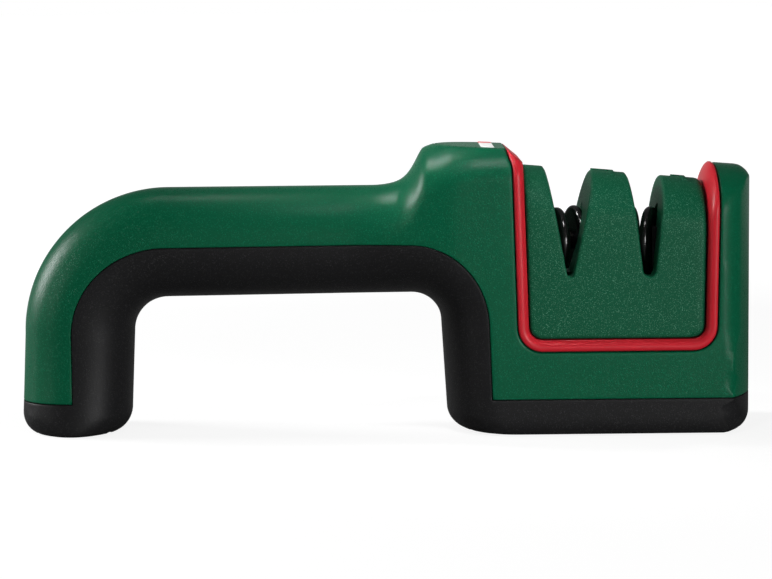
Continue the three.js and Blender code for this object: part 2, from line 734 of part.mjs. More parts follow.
// A V slot: a round floor and two leaning sides, grown by its walls.
function slotCut(x, floorZ, radius, leftLean, rightLean, grow) {
  const shape = new THREE.Shape();
  const topZ = coverTopZ + overrun;
  const round = radius + grow;
  const centreZ = floorZ + radius;
  const leftTurn = Math.atan(leftLean);
  const rightTurn = Math.atan(rightLean);
  const leftX = x - round * Math.cos(leftTurn);
  const rightX = x + round * Math.cos(rightTurn);
  shape.moveTo(leftX - leftLean * (topZ - centreZ), topZ);
  shape.lineTo(leftX, centreZ - round * Math.sin(leftTurn));
  shape.absarc(x, centreZ, round, Math.PI + leftTurn, 2 * Math.PI - rightTurn, false);
  shape.lineTo(rightX + rightLean * (topZ - centreZ), topZ);
  shape.closePath();
  return throughDepth(shape, headHalfDepth + overrun, 5);
}

function slotCuts(grow) {
  const coarse = slotCut(coarseSlotX, coarseSlotFloorZ, coarseSlotRadius, coarseSlotLeftLean,
    coarseSlotRightLean, grow);
  const fine = slotCut(fineSlotX, fineSlotFloorZ, fineSlotRadius, fineSlotLeftLean, fineSlotRightLean, grow);
  return [coarse, fine];
}

const coarseDiscs = { x: coarseDiscX, spread: coarseSpread, toeIn: coarseToeIn };
const fineDiscs = { x: fineDiscX, spread: fineSpread, toeIn: fineToeIn };

// A disc's seat: side is -1 where it leans on the left cheek and 1 on the right; front is -1 or 1.
function discSeats() {
  return [
    { name: 'coarse_disc_front', ...coarseDiscs, side: -1, front: -1 },
    { name: 'coarse_disc_rear', ...coarseDiscs, side: 1, front: 1 },
    { name: 'fine_disc_front', ...fineDiscs, side: 1, front: -1 },
    { name: 'fine_disc_rear', ...fineDiscs, side: -1, front: 1 },
  ];
}

// The disc's own frame: its axle along the frame's X, pointing out to the cheek that holds the pin.
function seatMatrix(seat) {
  const turn = seat.side < 0 ? Math.PI : 0;
  const lean = seat.side * seat.front * THREE.MathUtils.degToRad(seat.toeIn);
  const matrix = new THREE.Matrix4().makeRotationZ(turn + lean);
  matrix.setPosition(seat.x + seat.side * seat.spread, seat.front * discStagger, discCentreZ);
  return matrix;
}

function inSeat(geometry, seat) {
  const placed = geometry.clone();
  placed.applyMatrix4(seatMatrix(seat));
  return solidOf(placed);
}

function axleRod(radius, fromX, toX, sides = 16) {
  const geometry = new THREE.CylinderGeometry(radius, radius, toX - fromX, sides);
  geometry.rotateZ(Math.PI / 2);
  geometry.translate((fromX + toX) / 2, 0, 0);
  return geometry;
}

function discGeometry() {
  const half = discThickness / 2;
  const bore = bushRadius + runningClearance;
  const profile = new THREE.Path();
  profile.moveTo(bore, -half);
  profile.lineTo(discRadius - discEdgeRadius, -half);
  profile.absarc(discRadius - discEdgeRadius, -half + discEdgeRadius, discEdgeRadius, -Math.PI / 2, 0, false);
  profile.absarc(discRadius - discEdgeRadius, half - discEdgeRadius, discEdgeRadius, 0, Math.PI / 2, false);
  profile.lineTo(bore, half);
  profile.lineTo(bore, -half);
  const geometry = new THREE.LatheGeometry(profile.getPoints(2), 24);
  geometry.rotateZ(-Math.PI / 2);
  return geometry;
}

function tubeGeometry(innerRadius, outerRadius, fromX, toX) {
  const profile = [
    new THREE.Vector2(innerRadius, fromX),
    new THREE.Vector2(outerRadius, fromX),
    new THREE.Vector2(outerRadius, toX),
    new THREE.Vector2(innerRadius, toX),
    new THREE.Vector2(innerRadius, fromX),
  ];
  const geometry = new THREE.LatheGeometry(profile, 16);
  geometry.rotateZ(-Math.PI / 2);
  return geometry;
}

// The pocket that a disc turns in: round above its axle and open below.
function pocketSolid(seat, grow) {
  const radius = discRadius + grow;
  const half = discThickness / 2 + grow;
  const shape = new THREE.Shape();
  shape.moveTo(-radius, -discRadius - grow);
  shape.lineTo(radius, -discRadius - grow);
  shape.lineTo(radius, 0);
  shape.absarc(0, 0, radius, 0, Math.PI, false);
  shape.closePath();
  const options = { depth: 2 * half, bevelEnabled: false, curveSegments: 14 };
  const geometry = new THREE.ExtrudeGeometry(shape, options);
  geometry.translate(0, 0, -half);
  geometry.rotateX(Math.PI / 2);
  geometry.rotateZ(Math.PI / 2);
  return inSeat(geometry, seat);
}

function cheekSolid(seat, grow) {
  const lowZ = carrierTopZ - carrierPlateThickness / 2 - discCentreZ;
  const highZ = bushRadius + cheekTopMargin + grow;
  const box = new THREE.BoxGeometry(cheekThickness + grow + Math.min(grow, cheekStart), cheekWidth + 2 * grow,
    highZ - lowZ);
  box.translate(cheekStart + (cheekThickness + grow - Math.min(grow, cheekStart)) / 2, 0, (highZ + lowZ) / 2);
  return inSeat(box, seat);
}

function bossPlaces(x, side) {
  return [[x - bossOffsetX, -side * bossOffsetY], [x + bossOffsetX, side * bossOffsetY]];
}

const carriers = [
  {
    name: 'coarse',
    x: coarseDiscX,
    side: -1,
    lowX: coverInnerLeftX + seamGap,
    highX: carrierJointX - seamGap / 2,
  },
  {
    name: 'fine',
    x: fineDiscX,
    side: 1,
    lowX: carrierJointX + seamGap / 2,
    highX: 2 * fineDiscX - carrierJointX,
  },
];

function makeInsertCover() {
  const outer = archSolid(coverHalfDepth, coverTopZ, coverFloorZ).intersect(trimBore(-seamGap));
  const cavityArch = archSolid(coverHalfDepth - coverWall, coverTopZ - coverWall, coverFloorZ - coverWall);
  const holeDepth = bossStartZ + carrierScrewLength + seamGap;
  const bosses = carriers.flatMap(({ x, side }) => bossPlaces(x, side).map(([bossX, bossY]) =>
    upright(bossRadius, bossX, bossY, bossStartZ, coverTopZ, 16)));
  const holes = carriers.flatMap(({ x, side }) => bossPlaces(x, side).map(([bossX, bossY]) =>
    upright(carrierScrewRadius + screwClearance, bossX, bossY, coverFloorZ, holeDepth, 12)));
  const cavity = cavityArch.intersect(trimBore(-seamGap - coverWall).add(
    block(coverInnerLeftX, trimInnerRightX - coverWall - seamGap, -coverHalfDepth, coverHalfDepth,
      coverFloorZ - overrun, coverFloorZ + trimInnerCornerRadius)))
    .subtract(joined(slotCuts(slotWall)))
    .subtract(joined(bosses));
  const clearances = discSeats().flatMap((seat) => [
    pocketSolid(seat, pocketClearance),
    cheekSolid(seat, seamGap),
  ]);
  return outer.subtract(cavity).subtract(joined(slotCuts(0))).subtract(joined(clearances))
    .subtract(joined(holes));
}

function makeCarrier({ x, side, lowX, highX }) {
  const seats = discSeats().filter((seat) => seat.x === x);
  const outline = roundedRectangle(lowX, highX, carrierHalfDepth, coverWall);
  const plate = upwards(outline, coverFloorZ, carrierTopZ, 3);
  const cheeks = seats.map((seat) => cheekSolid(seat, 0));
  const bores = seats.map((seat) =>
    inSeat(axleRod(pinRadius + runningClearance, 0, cheekStart + cheekThickness + overrun), seat));
  const headRadius = carrierScrewRadius * screwHeadRatio + screwClearance;
  const headTop = coverFloorZ + seamGap + screwHeadHeight + screwClearance;
  const holes = bossPlaces(x, side).flatMap(([bossX, bossY]) => [
    upright(headRadius, bossX, bossY, coverFloorZ - overrun, headTop, 16),
    upright(carrierScrewRadius + screwClearance, bossX, bossY, coverFloorZ, carrierTopZ + overrun, 12),
  ]);
  return joined([plate, ...cheeks]).subtract(joined([...bores, ...holes]));
}

function makePin(seat) {
  const headStart = -cheekStart - runningClearance;
  const rodStart = headStart - pinHeadThickness / 2;
  const rod = solidOf(axleRod(pinRadius, rodStart, cheekStart + cheekThickness));
  const head = solidOf(axleRod(pinHeadRadius, headStart - pinHeadThickness, headStart));
  return rod.add(head).transform(seatMatrix(seat).elements);
}

function makeBush(seat) {
  const half = discThickness / 2 + bushProud;
  return inSeat(tubeGeometry(pinRadius + runningClearance, bushRadius, -half, half), seat);
}

// A plate that lies on the left post's flat, following its slope.
function badgeSolid(grow, fromZ, toZ) {
  const geometry = new THREE.BoxGeometry(badgeWidth + 2 * grow, 2 * (badgeHalfDepth + grow), toZ - fromZ);
  geometry.translate(badgeX + badgeWidth / 2, 0, (fromZ + toZ) / 2);
  const position = geometry.attributes.position;
  for (let point = 0; point < position.count; point += 1) {
    const lift = facetHeight - facetSlope * (position.getX(point) - facetX);
    position.setZ(point, position.getZ(point) + lift);
  }
  return solidOf(geometry);
}

addPiece('upper_shell', makeUpperShell(), green);
addPiece('lower_shell', makeLowerShell(), black);
addPiece('trim_frame', makeTrimFrame(), red);
addPiece('insert_cover', makeInsertCover(), green);

for (const carrier of carriers) {
  addPiece(`${carrier.name}_carrier`, makeCarrier(carrier), grey);
  bossPlaces(carrier.x, carrier.side).forEach(([x, y], index) => {
    const place = index === 0 ? 'left' : 'right';
    const screw = screwSolid(carrierScrewRadius, carrierScrewLength, x, y, coverFloorZ + seamGap);
    addPiece(`${carrier.name}_carrier_screw_${place}`, screw, steel);
  });
}

for (const seat of discSeats()) {
  addPiece(seat.name, inSeat(discGeometry(), seat), ceramic);
  addPiece(`${seat.name}_bush`, makeBush(seat), brass);
  addPiece(`${seat.name}_pin`, makePin(seat), steel);
}

const shankLength = baseScrewLength - shellWall;
for (const [place, x, y] of screwPlaces()) {
  addPiece(`base_screw_${place}`, screwSolid(baseScrewRadius, shankLength, x, y, baseHeadZ), steel);
}
addPiece('foot_screw', screwSolid(baseScrewRadius, shankLength, footBossX, 0, footHeadZ), steel);
addPiece('base_pad', basePadSolid(0, 0, padThickness), rubber);
addPiece('foot_pad', footPadSolid(0, 0, padThickness), rubber);
addPiece('badge_plate', badgeSolid(0, seamGap / 2 - badgeSink, badgeThickness - badgeSink), white);

export default sharpener;
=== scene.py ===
import json
import math

import bmesh
import bpy
import numpy as np
from mathutils import Matrix, Vector
from mathutils.geometry import delaunay_2d_cdt


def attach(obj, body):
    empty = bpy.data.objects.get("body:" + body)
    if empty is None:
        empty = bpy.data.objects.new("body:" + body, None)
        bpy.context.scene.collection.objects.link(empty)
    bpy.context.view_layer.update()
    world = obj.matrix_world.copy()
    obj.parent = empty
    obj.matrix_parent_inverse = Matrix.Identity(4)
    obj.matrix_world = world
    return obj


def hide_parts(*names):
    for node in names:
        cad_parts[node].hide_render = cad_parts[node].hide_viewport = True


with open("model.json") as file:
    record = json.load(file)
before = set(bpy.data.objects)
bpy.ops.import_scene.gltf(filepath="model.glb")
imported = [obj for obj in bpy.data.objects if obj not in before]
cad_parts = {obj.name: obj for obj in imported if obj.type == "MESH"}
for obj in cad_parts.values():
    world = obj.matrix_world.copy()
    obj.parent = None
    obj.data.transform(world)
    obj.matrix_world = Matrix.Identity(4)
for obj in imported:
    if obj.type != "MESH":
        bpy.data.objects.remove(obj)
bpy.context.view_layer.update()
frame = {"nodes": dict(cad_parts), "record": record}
print("scene: frame loaded")

# Lengths are in millimetres down to the materials, and newMesh turns them into metres.
millimetre = 0.001

# Both shells are one section that runs from the foot over the grip to the right end.
body = {
    "halfLength": 103.5,
    "soleHeight": 0.25,
    "gripTop": 69.2,
    "gripUnderside": 38.2,
    "gripHalfDepth": 15.0,
    "headHalfDepth": 21.0,
    "flareStart": -10.0,
    "flareLength": 31.0,
    "leftBend": (-61.348, 28.2),
    "leftInnerRadius": 10.0,
    "leftOuterRadius": 41.0,
    "rightBend": (7.8, 30.5),
    "rightInnerRadius": 8.3,
    "underRise": 0.6,
    "footSplay": 1.4,
    "legSplay": 1.8,
    "footSole": 0.02,
    "endFloor": (3.4, 4.75),
    "postFloor": (6.0, 5.5),
    "footFloor": (5.2, 6.2),
    "floorDrawDepth": 0.4,
    "footFlare": 1.8,
    "footFlareHeight": 25.0,
    "gripRound": (15.5, 15.5),  # reach from the inner and from the outer line
    "headRound": (14.5, 13.0),
    "gripExponent": 2.25,
    "headTopExponent": 2.0,
    "endRadius": 36.709,
    "endCrease": 0.8,
    "gap": 0.09,
    "partingEdge": 0.27,
    "windowEdge": 0.55,
    "flatEdge": 0.5,
    "soleEdge": 0.7,
    "meshSpacing": 1.05,
}
leftX, leftZ = body["leftBend"]
rightX, rightZ = body["rightBend"]

# Height of the top line over the shoulder and down to the right post
topLine = {
    "shoulderStart": -3.1,
    "steepLength": 14.7,
    "steepRise": 7.5,
    "steepPower": 3.1,
    "slowLength": 32.0,
    "slowRise": 7.3,
    "postX": 92.2,
    "postHeight": 74.8,
    "postSlope": 0.08,
    "fallStart": 40.0,
    "fallLength": 48.0,
    "endRoundX": 99.5,
    "endRoundRadius": 4.0,
}


def smoothStep(value):
    share = np.clip(value, 0, 1)
    return share * share * (3 - 2 * share)


def blendOf(low, high, share):
    return low + (high - low) * share


def topHeight(x, inset=0.0):
    past = x - topLine["shoulderStart"]
    steep = smoothStep(np.clip(past / topLine["steepLength"], 0, 1) ** topLine["steepPower"])
    slow = smoothStep(past / topLine["slowLength"])
    crown = body["gripTop"] + topLine["steepRise"] * steep + topLine["slowRise"] * slow
    post = topLine["postHeight"] - topLine["postSlope"] * (x - topLine["postX"])
    fall = smoothStep((x - topLine["fallStart"]) / topLine["fallLength"])
    height = blendOf(crown, post, fall) - inset
    radius = topLine["endRoundRadius"]
    past = np.maximum(0, x + inset - topLine["endRoundX"])
    return height - radius + np.sqrt(np.maximum(0, radius**2 - past**2))


def roundedShare(distance, reach, exponent):
    share = np.clip(distance / reach, 0, 1)
    return (1 - (1 - share) ** exponent) ** (1 / exponent)


def drawAt(z, place="endFloor"):
    # How far the sides draw in towards the floor, as a quarter of an ellipse
    low = body["footSole" if place == "footFloor" else "soleHeight"]
    reach, rise = body[place]
    cosine = np.clip(1 - (z - low) / rise, 0, 1)
    return reach * (1 - np.sqrt(1 - cosine**2))


def undersideAt(x):
    return body["gripUnderside"] + body["underRise"] * (x - leftX) / (rightX - leftX)


def leanAt(z, splay, bend):
    return body[splay] * np.maximum(0, 1 - z / body[bend][1])


def innerLegX(z):
    draw = leanAt(z, "footSplay", "leftBend") + drawAt(z, "footFloor")
    return leftX - body["leftInnerRadius"] - draw


def outerLegX(z):
    draw = drawAt(z, "footFloor") - leanAt(z, "footSplay", "leftBend")
    return leftX - body["leftOuterRadius"] + draw


def innerPostX(z):
    draw = leanAt(z, "legSplay", "rightBend") + drawAt(z, "postFloor")
    return rightX + body["rightInnerRadius"] + draw


def endX(z):
    return body["halfLength"] - drawAt(z)


def softMin(first, second, width):
    leastShare, narrowest = 0.6, 0.001
    reach = np.minimum(width, leastShare * np.minimum(first, second) + narrowest)
    share = np.clip(0.5 + 0.5 * (second - first) / reach, 0, 1)
    return blendOf(second, first, share) - reach * share * (1 - share)


def bodyDepth(x, z, inset=0.0, drop=0.0):
    # Half the body's depth at a place on its outline's plane
    draw = drawAt(z)
    turnLeft = np.hypot(x - leftX, z - leftZ)
    turnRight = np.hypot(x - rightX, z - rightZ)
    leftLeg = (x < leftX) & (z < leftZ)
    leftTurn = (x < leftX) & (z >= leftZ)
    rightLeg = (x >= rightX) & (z < rightZ)
    rightTurn = (x >= rightX) & (z >= rightZ)
    inner = np.select(
        [leftLeg, leftTurn, rightLeg, rightTurn],
        [
            innerLegX(z) - x,
            turnLeft - body["leftInnerRadius"],
            x - innerPostX(z),
            turnRight - body["rightInnerRadius"],
        ],
        z - undersideAt(x),
    )
    outer = np.select(
        [leftLeg, leftTurn],
        [x - outerLegX(z) - inset, body["leftOuterRadius"] - turnLeft - inset],
        topHeight(x, inset) - z - drop,
    )
    flare = smoothStep((x - body["flareStart"]) / body["flareLength"])
    share = np.where(x < leftX, 0, flare)
    depth = blendOf(body["gripHalfDepth"], body["headHalfDepth"], share)
    footShare = np.clip(1 - z / body["footFlareHeight"], 0, 1)
    footFlare = body["footFlare"] * footShare**2
    depth = depth - inset + np.where(leftLeg, footFlare, -body["floorDrawDepth"] * draw)
    reaches = [
        blendOf(grip, head, share)
        for grip, head in zip(body["gripRound"], body["headRound"])
    ]
    exponent = body["gripExponent"]
    outerExponent = blendOf(exponent, body["headTopExponent"], share)
    innerShare = roundedShare(inner - inset, reaches[0], exponent)
    sides = depth * innerShare * roundedShare(outer, reaches[1], outerExponent)
    radius = body["endRadius"]
    past = np.maximum(0, body["halfLength"] - inset - draw - x)
    bulge = np.sqrt(np.maximum(0, 2 * radius * past - past**2))
    bulge = np.where(past > radius, radius, bulge)
    return np.maximum(0, softMin(sides, bulge, body["endCrease"]))


# Rows of mesh points beside an outline, closer together where the surface turns faster
def turnedRows(radius, turns):
    return [radius * (1 - math.cos(math.radians(turn))) for turn in turns]


def edgeRows(radius):
    return turnedRows(radius, (25, 48, 70, 90))


def pastEdge(edge, rows):
    return [edge + row for row in rows]


roundRows = turnedRows(body["gripRound"][1], range(6, 37, 6))
endRows = [*turnedRows(body["endRadius"], range(3, 31, 3)), 5.6, 6.1, 6.5, 6.9, 7.3, 7.8]


def edgeInset(distance, radius):
    share = np.clip(1 - distance / radius, 0, 1)
    return radius * (1 - np.sqrt(1 - share**2))


def placesAlong(length, step, first, last):
    # Shares of a length at an even step, with the rows of first and last at its two ends
    nearest, rowReach = 0.01, 0.45 * length
    first = [row for row in first if row < rowReach]
    last = [row for row in last if row < rowReach]
    low = first[-1] if first else 0.0
    high = length - (last[-1] if last else 0.0)
    count = max(1, round((high - low) / step))
    middle = [blendOf(low, high, index / count) for index in range(count + 1)]
    places = [0.0, *first, *middle, *[length - row for row in reversed(last)], length]
    kept = [places[0]]
    for place in places[1:]:
        if place - kept[-1] > nearest:
            kept.append(place)
    kept[-1] = length
    return np.array(kept) / length


def alongPath(path, step, first=(), last=()):
    samples = 2001
    dense = np.array([path(share) for share in np.linspace(0, 1, samples)])
    lengths = np.concatenate([[0], np.cumsum(np.hypot(*np.diff(dense, axis=0).T))])
    wanted = placesAlong(lengths[-1], step, first, last) * lengths[-1]
    return np.stack([np.interp(wanted, lengths, dense[:, axis]) for axis in (0, 1)], axis=1)


def lineRun(start, end, step=1.1, first=(), last=()):
    low, high = np.array(start), np.array(end)
    return alongPath(lambda share: blendOf(low, high, share), step, first, last)


def arcRun(centre, reach, fromTurn, toTurn, step=1.1, rise=None):
    # A round arc, or an elliptical one where its rise differs from its reach
    def path(share):
        turn = math.radians(blendOf(fromTurn, toTurn, share))
        return [centre[0] + reach * math.cos(turn), centre[1] + (rise or reach) * math.sin(turn)]

    return alongPath(path, step)


def runAcross(heightAt, low, high, step=1.1, first=(), last=()):
    def path(share):
        x = blendOf(low, high, share)
        return [float(x), float(heightAt(x))]

    return alongPath(path, step, first, last)


def runUp(xAt, low, high, step=1.1, first=(), last=()):
    def path(share):
        z = blendOf(low, high, share)
        return [float(xAt(z)), float(z)]

    return alongPath(path, step, first, last)


def roundRun(points, rows):
    return "round", points, 0, rows


def cutRun(points, edge, *moreRows):
    return "cut", points, edge, [*edgeRows(edge), *moreRows]


def joinRuns(*runs):
    return np.concatenate([runs[0], *[run[1:] for run in runs[1:]]])


def runNormals(points, side):
    along = np.diff(points, axis=0)
    along /= np.linalg.norm(along, axis=1)[:, None]
    mean = np.concatenate([along[:1], along]) + np.concatenate([along, along[-1:]])
    mean /= np.linalg.norm(mean, axis=1)[:, None]
    return side * np.stack([-mean[:, 1], mean[:, 0]], axis=1)


def distancesTo(points, start, end):
    # Least distance from each point to the pieces of line from start to end
    least = np.zeros(len(points))
    atOnce, shortest = 1500, 1e-12
    along = end - start
    lengths = np.maximum((along**2).sum(axis=1), shortest)
    for low in range(0, len(points), atOnce):
        chunk = points[low : low + atOnce, None, :] - start[None]
        share = np.clip((chunk * along[None]).sum(axis=2) / lengths[None], 0, 1)
        gap = chunk - share[:, :, None] * along[None]
        least[low : low + atOnce] = np.sqrt((gap**2).sum(axis=2)).min(axis=1)
    return least


def insidePolygon(points, outline):
    inside = np.zeros(len(points), bool)
    ahead = np.roll(outline, -1, axis=0)
    for (startX, startZ), (nextX, nextZ) in zip(outline, ahead):
        crosses = (startZ > points[:, 1]) != (nextZ > points[:, 1])
        if startZ != nextZ:
            atX = startX + (points[:, 1] - startZ) * (nextX - startX) / (nextZ - startZ)
            inside ^= crosses & (points[:, 0] < atX)
    return inside


def newMesh(name, vertices, faces, flatFaces=()):
    mesh = bpy.data.meshes.new(name)
    mesh.from_pydata([tuple(vertex) for vertex in np.array(vertices) * millimetre], [], faces)
    flat = np.zeros(len(faces), bool)
    flat[list(flatFaces)] = True
    mesh.polygons.foreach_set("use_smooth", ~flat)
    mesh.update()
    piece = bpy.data.objects.new(name, mesh)
    bpy.context.scene.collection.objects.link(piece)
    return piece


def insetAt(points, runs):
    # How far the rounded edges along the cut runs draw the surface in at each point
    inset = np.zeros(len(points))
    for kind, cutPoints, radius, _ in runs:
        if kind == "cut":
            distance = distancesTo(points, cutPoints[:-1], cutPoints[1:])
            inset = np.maximum(inset, edgeInset(distance, radius))
    return inset


def drawnRuns(runs, side):
    # Round runs draw in beside a cut run's edge, and the ends of the cut run follow them.
    drawn = []
    for kind, points, _, _ in runs:
        if kind == "round":
            points = points + runNormals(points, side) * insetAt(points, runs)[:, None]
        drawn.append(points.copy())
    for index, (kind, _, _, _) in enumerate(runs):
        before = (index - 1) % len(runs)
        after = (index + 1) % len(runs)
        if kind == "cut" and runs[before][0] == "round":
            drawn[index][0] = drawn[before][-1]
        if kind == "cut" and runs[after][0] == "round":
            drawn[index][-1] = drawn[after][0]
    return drawn


def pointsInside(drawn, rowSets, border, side, spacing):
    # Rows beside each run, then an even grid over the rest, one point to each small cell
    start, end = border, np.roll(border, -1, axis=0)
    cell, rowShare, rowSlack, gridShare = 0.02, 0.985, 0.002, 0.6
    inner = []
    for points, rows in zip(drawn, rowSets):
        normals = runNormals(points, side)
        for row in rows:
            offset = points + normals * row
            gap = distancesTo(offset, start, end)
            inner.append(offset[(gap > row * rowShare - rowSlack) & insidePolygon(offset, border)])
    low, high = border.min(axis=0), border.max(axis=0)
    columns = np.arange(low[0], high[0] + spacing, spacing)
    levels = np.arange(low[1], high[1] + spacing, spacing * math.sqrt(0.75))
    grid = np.array(
        [[x + (index % 2) * spacing / 2, z] for index, z in enumerate(levels) for x in columns]
    )
    grid = grid[insidePolygon(grid, border)]
    keep = np.ones(len(grid), bool)
    for points, rows in zip(drawn, rowSets):
        clear = (rows[-1] if rows else 0) + gridShare * spacing
        keep &= distancesTo(grid, points[:-1], points[1:]) > clear
    cells = {}
    for point in np.concatenate([*inner, grid[keep]]):
        cells.setdefault((round(point[0] / cell), round(point[1] / cell)), point)
    return np.array(list(cells.values()))


def liftedPiece(name, runs, depthAt, spacing):
    # runs: (kind, points, edge radius, rows), which close on themselves. A round run closes to
    # nothing, and a cut run, with a rounded edge, or a wall run, without one, meets a wall.
    thinnest = 0.004
    outline = np.concatenate([points[:-1] for _, points, _, _ in runs])
    ahead = np.roll(outline, -1, axis=0)
    area = (outline[:, 0] * ahead[:, 1] - ahead[:, 0] * outline[:, 1]).sum()
    side = 1 if area > 0 else -1
    drawn = drawnRuns(runs, side)
    border = np.concatenate([points[:-1] for points in drawn]).astype(np.float32).astype(float)
    isRound = np.concatenate([np.full(len(run[1]) - 1, run[0] == "round") for run in runs])
    closing = isRound | np.roll(isRound, 1)
    inner = pointsInside(drawn, [run[3] for run in runs], border, side, spacing)

    count = len(border)
    rim = [(index, (index + 1) % count) for index in range(count)]
    flat = [Vector((float(x), float(z))) for x, z in np.concatenate([border, inner])]
    found = delaunay_2d_cdt(flat, rim, [], 0, 1e-6, True)
    points = np.array([[vertex.x, vertex.y] for vertex in found[0]])
    triangles = np.array([list(face) for face in found[2]])
    triangles = triangles[insidePolygon(points[triangles].mean(axis=1), border)].tolist()
    source = np.array([ids[0] if ids else -1 for ids in found[3]])
    onBorder = (source >= 0) & (source < count)
    closes = onBorder & closing[np.where(onBorder, source, 0)]

    depth = depthAt(points[:, 0], points[:, 1], insetAt(points, runs))
    depth = np.where(closes, 0, np.maximum(depth, thinnest))
    rear = np.arange(len(points))
    rear[~closes] = len(points) + np.arange((~closes).sum())
    rear = rear.tolist()
    front = np.stack([points[:, 0], -depth, points[:, 1]], axis=1)
    back = front[~closes] * [1, -1, 1]
    faces = []
    for a, b, c in triangles:
        if not closes[[a, b, c]].all():
            faces += [[a, b, c], [rear[c], rear[b], rear[a]]]
    wallStart = len(faces)
    placed = {int(source[vertex]): int(vertex) for vertex in np.flatnonzero(onBorder)}
    for low, high in rim if side > 0 else [(high, low) for low, high in reversed(rim)]:
        a, b = placed[low], placed[high]
        if not (closes[a] and closes[b]):
            faces.append([b, a] + [rear[end] for end in (a, b) if not closes[end]])
    piece = newMesh(name, np.concatenate([front, back]), faces, range(wallStart, len(faces)))
    print(f"scene: {name} has {len(faces)} faces")
    return piece


def reshape(piece, change):
    shaped = bmesh.new()
    shaped.from_mesh(piece.data)
    change(shaped)
    shaped.to_mesh(piece.data)
    shaped.free()


def faceOutwards(shaped):
    bmesh.ops.recalc_face_normals(shaped, faces=shaped.faces)


def bevelEdges(shaped, edges, width):
    bmesh.ops.bevel(
        shaped,
        geom=edges,
        offset=width * millimetre,
        segments=3,
        profile=0.5,
        affect="EDGES",
        clamp_overlap=True,
    )


def smoothBelow(piece, degrees):
    def change(shaped):
        for edge in shaped.edges:
            edge.smooth = edge.calc_face_angle(0) < math.radians(degrees)

    piece.data.polygons.foreach_set("use_smooth", np.ones(len(piece.data.polygons), bool))
    reshape(piece, change)


def cutWith(piece, cutters):
    for cutter in cutters:
        bpy.context.view_layer.update()
        modifier = piece.modifiers.new("cut", "BOOLEAN")
        modifier.operation = "DIFFERENCE"
        modifier.solver = "EXACT"
        modifier.object = cutter
        bpy.context.view_layer.objects.active = piece
        with bpy.context.temp_override(object=piece, active_object=piece):
            bpy.ops.object.modifier_apply(modifier="cut")
        bpy.data.objects.remove(cutter)


def prism(name, outline, low, high, toPlace=lambda *place: place):
    # An outline in the plane of the first two axes, drawn along the third, then placed
    count = len(outline)
    corners = [toPlace(a, b, out) for out in (low, high) for a, b in outline]
    faces = [list(reversed(range(count))), [count + index for index in range(count)]]
    for index in range(count):
        ahead = (index + 1) % count
        faces.append([index, ahead, count + ahead, count + index])
    piece = newMesh(name, corners, faces, range(len(faces)))
    reshape(piece, faceOutwards)
    return piece


def arcPoints(centreX, centreY, radius, turns):
    return [
        (centreX + radius * math.cos(turn), centreY + radius * math.sin(turn))
        for turn in map(math.radians, turns)
    ]


def roundedRectangle(lowX, highX, halfDepth, radius):
    inX, outX, deep = lowX + radius, highX - radius, halfDepth - radius
    corners = [(outX, -deep, -90), (outX, deep, 0), (inX, deep, 90), (inX, -deep, 180)]
    outline = []
    for centreX, centreY, start in corners:
        outline += arcPoints(centreX, centreY, radius, range(start, start + 91, 15))
    return outline


def meeting(difference, low, high):
    # Place where a function of one value changes sign
    halvings = 60
    lowSign = difference(low) > 0
    for _ in range(halvings):
        middle = (low + high) / 2
        if (difference(middle) > 0) == lowSign:
            low = middle
        else:
            high = middle
    return (low + high) / 2


# Green upper body; the places in it are shared with the lower body, the trim and the cover
upper = {
    "leftSplit": (26.5, 24.9),
    "rightSplit": (21.3, 23.0),
    "rightSplitLean": 0.7,
    "footSplit": 9.4,
    "baseSplit": 10.3,
    "flatSlope": (15.0, 80.9, 0.045),  # start, height there, fall
    "armSlope": (34.3, 79.9, 0.83),
    "window": {"left": 37.3, "right": 92.2, "bottom": 23.75, "corner": 6.8, "tipLean": 1.3},
    "trimInside": {"left": 40.15, "right": 89.4, "bottom": 26.75, "corner": 3.95, "tipLean": 0.0},
    "windowGap": 0.3,
    "leftDraft": 0.03,
    "rightDraft": 0.018,
    "tipStart": 74.5,
    "tipRise": 5.5,
}


def slopeZ(name, x):
    startX, height, fall = upper[name]
    return height - fall * (x - startX)


def partingRuns(grow):
    # From the right end to the foot's outer side, grown outwards from the lower body
    rightReach, rightRise = (size + grow for size in upper["rightSplit"])
    leftReach, leftRise = (size + grow for size in upper["leftSplit"])
    lowX = rightX + rightReach + upper["rightSplitLean"]
    baseZ = upper["baseSplit"] + grow
    footZ = upper["footSplit"] + grow
    edge = body["partingEdge"]
    baseEnd = (float(endX(baseZ)), baseZ)
    footCorner = (leftX - leftReach, footZ)
    footEnd = (float(outerLegX(footZ)), footZ)
    return joinRuns(
        lineRun(baseEnd, (lowX, baseZ), first=pastEdge(edge, endRows)),
        lineRun((lowX, baseZ), (rightX + rightReach, rightZ)),
        arcRun((rightX, rightZ), rightReach, 0, 90, rise=rightRise),
        lineRun((rightX, rightZ + rightRise), (leftX, leftZ + leftRise)),
        arcRun((leftX, leftZ), leftReach, 90, 180, rise=leftRise),
        lineRun((leftX - leftReach, leftZ), footCorner),
        lineRun(footCorner, footEnd, last=pastEdge(edge, roundRows)),
    )


def sideX(line, side, z, grow=0.0):
    # A side of the window or of the trim's inside, which both widen upwards
    places = upper[line]
    fromBottom = z - places["bottom"]
    if side > 0:
        return places["right"] + grow + upper["rightDraft"] * fromBottom
    tip = places["tipLean"] * smoothStep((z - upper["tipStart"]) / upper["tipRise"])
    return places["left"] - grow - upper["leftDraft"] * fromBottom - tip


def topCorner(line, side, grow, heightAt):
    # Where such a side meets a line above it
    near, reach = sideX(line, side, body["gripTop"]), 4

    def past(x):
        return x - sideX(line, side, float(heightAt(x)), grow)

    x = meeting(past, near - reach, near + reach)
    return x, float(heightAt(x))


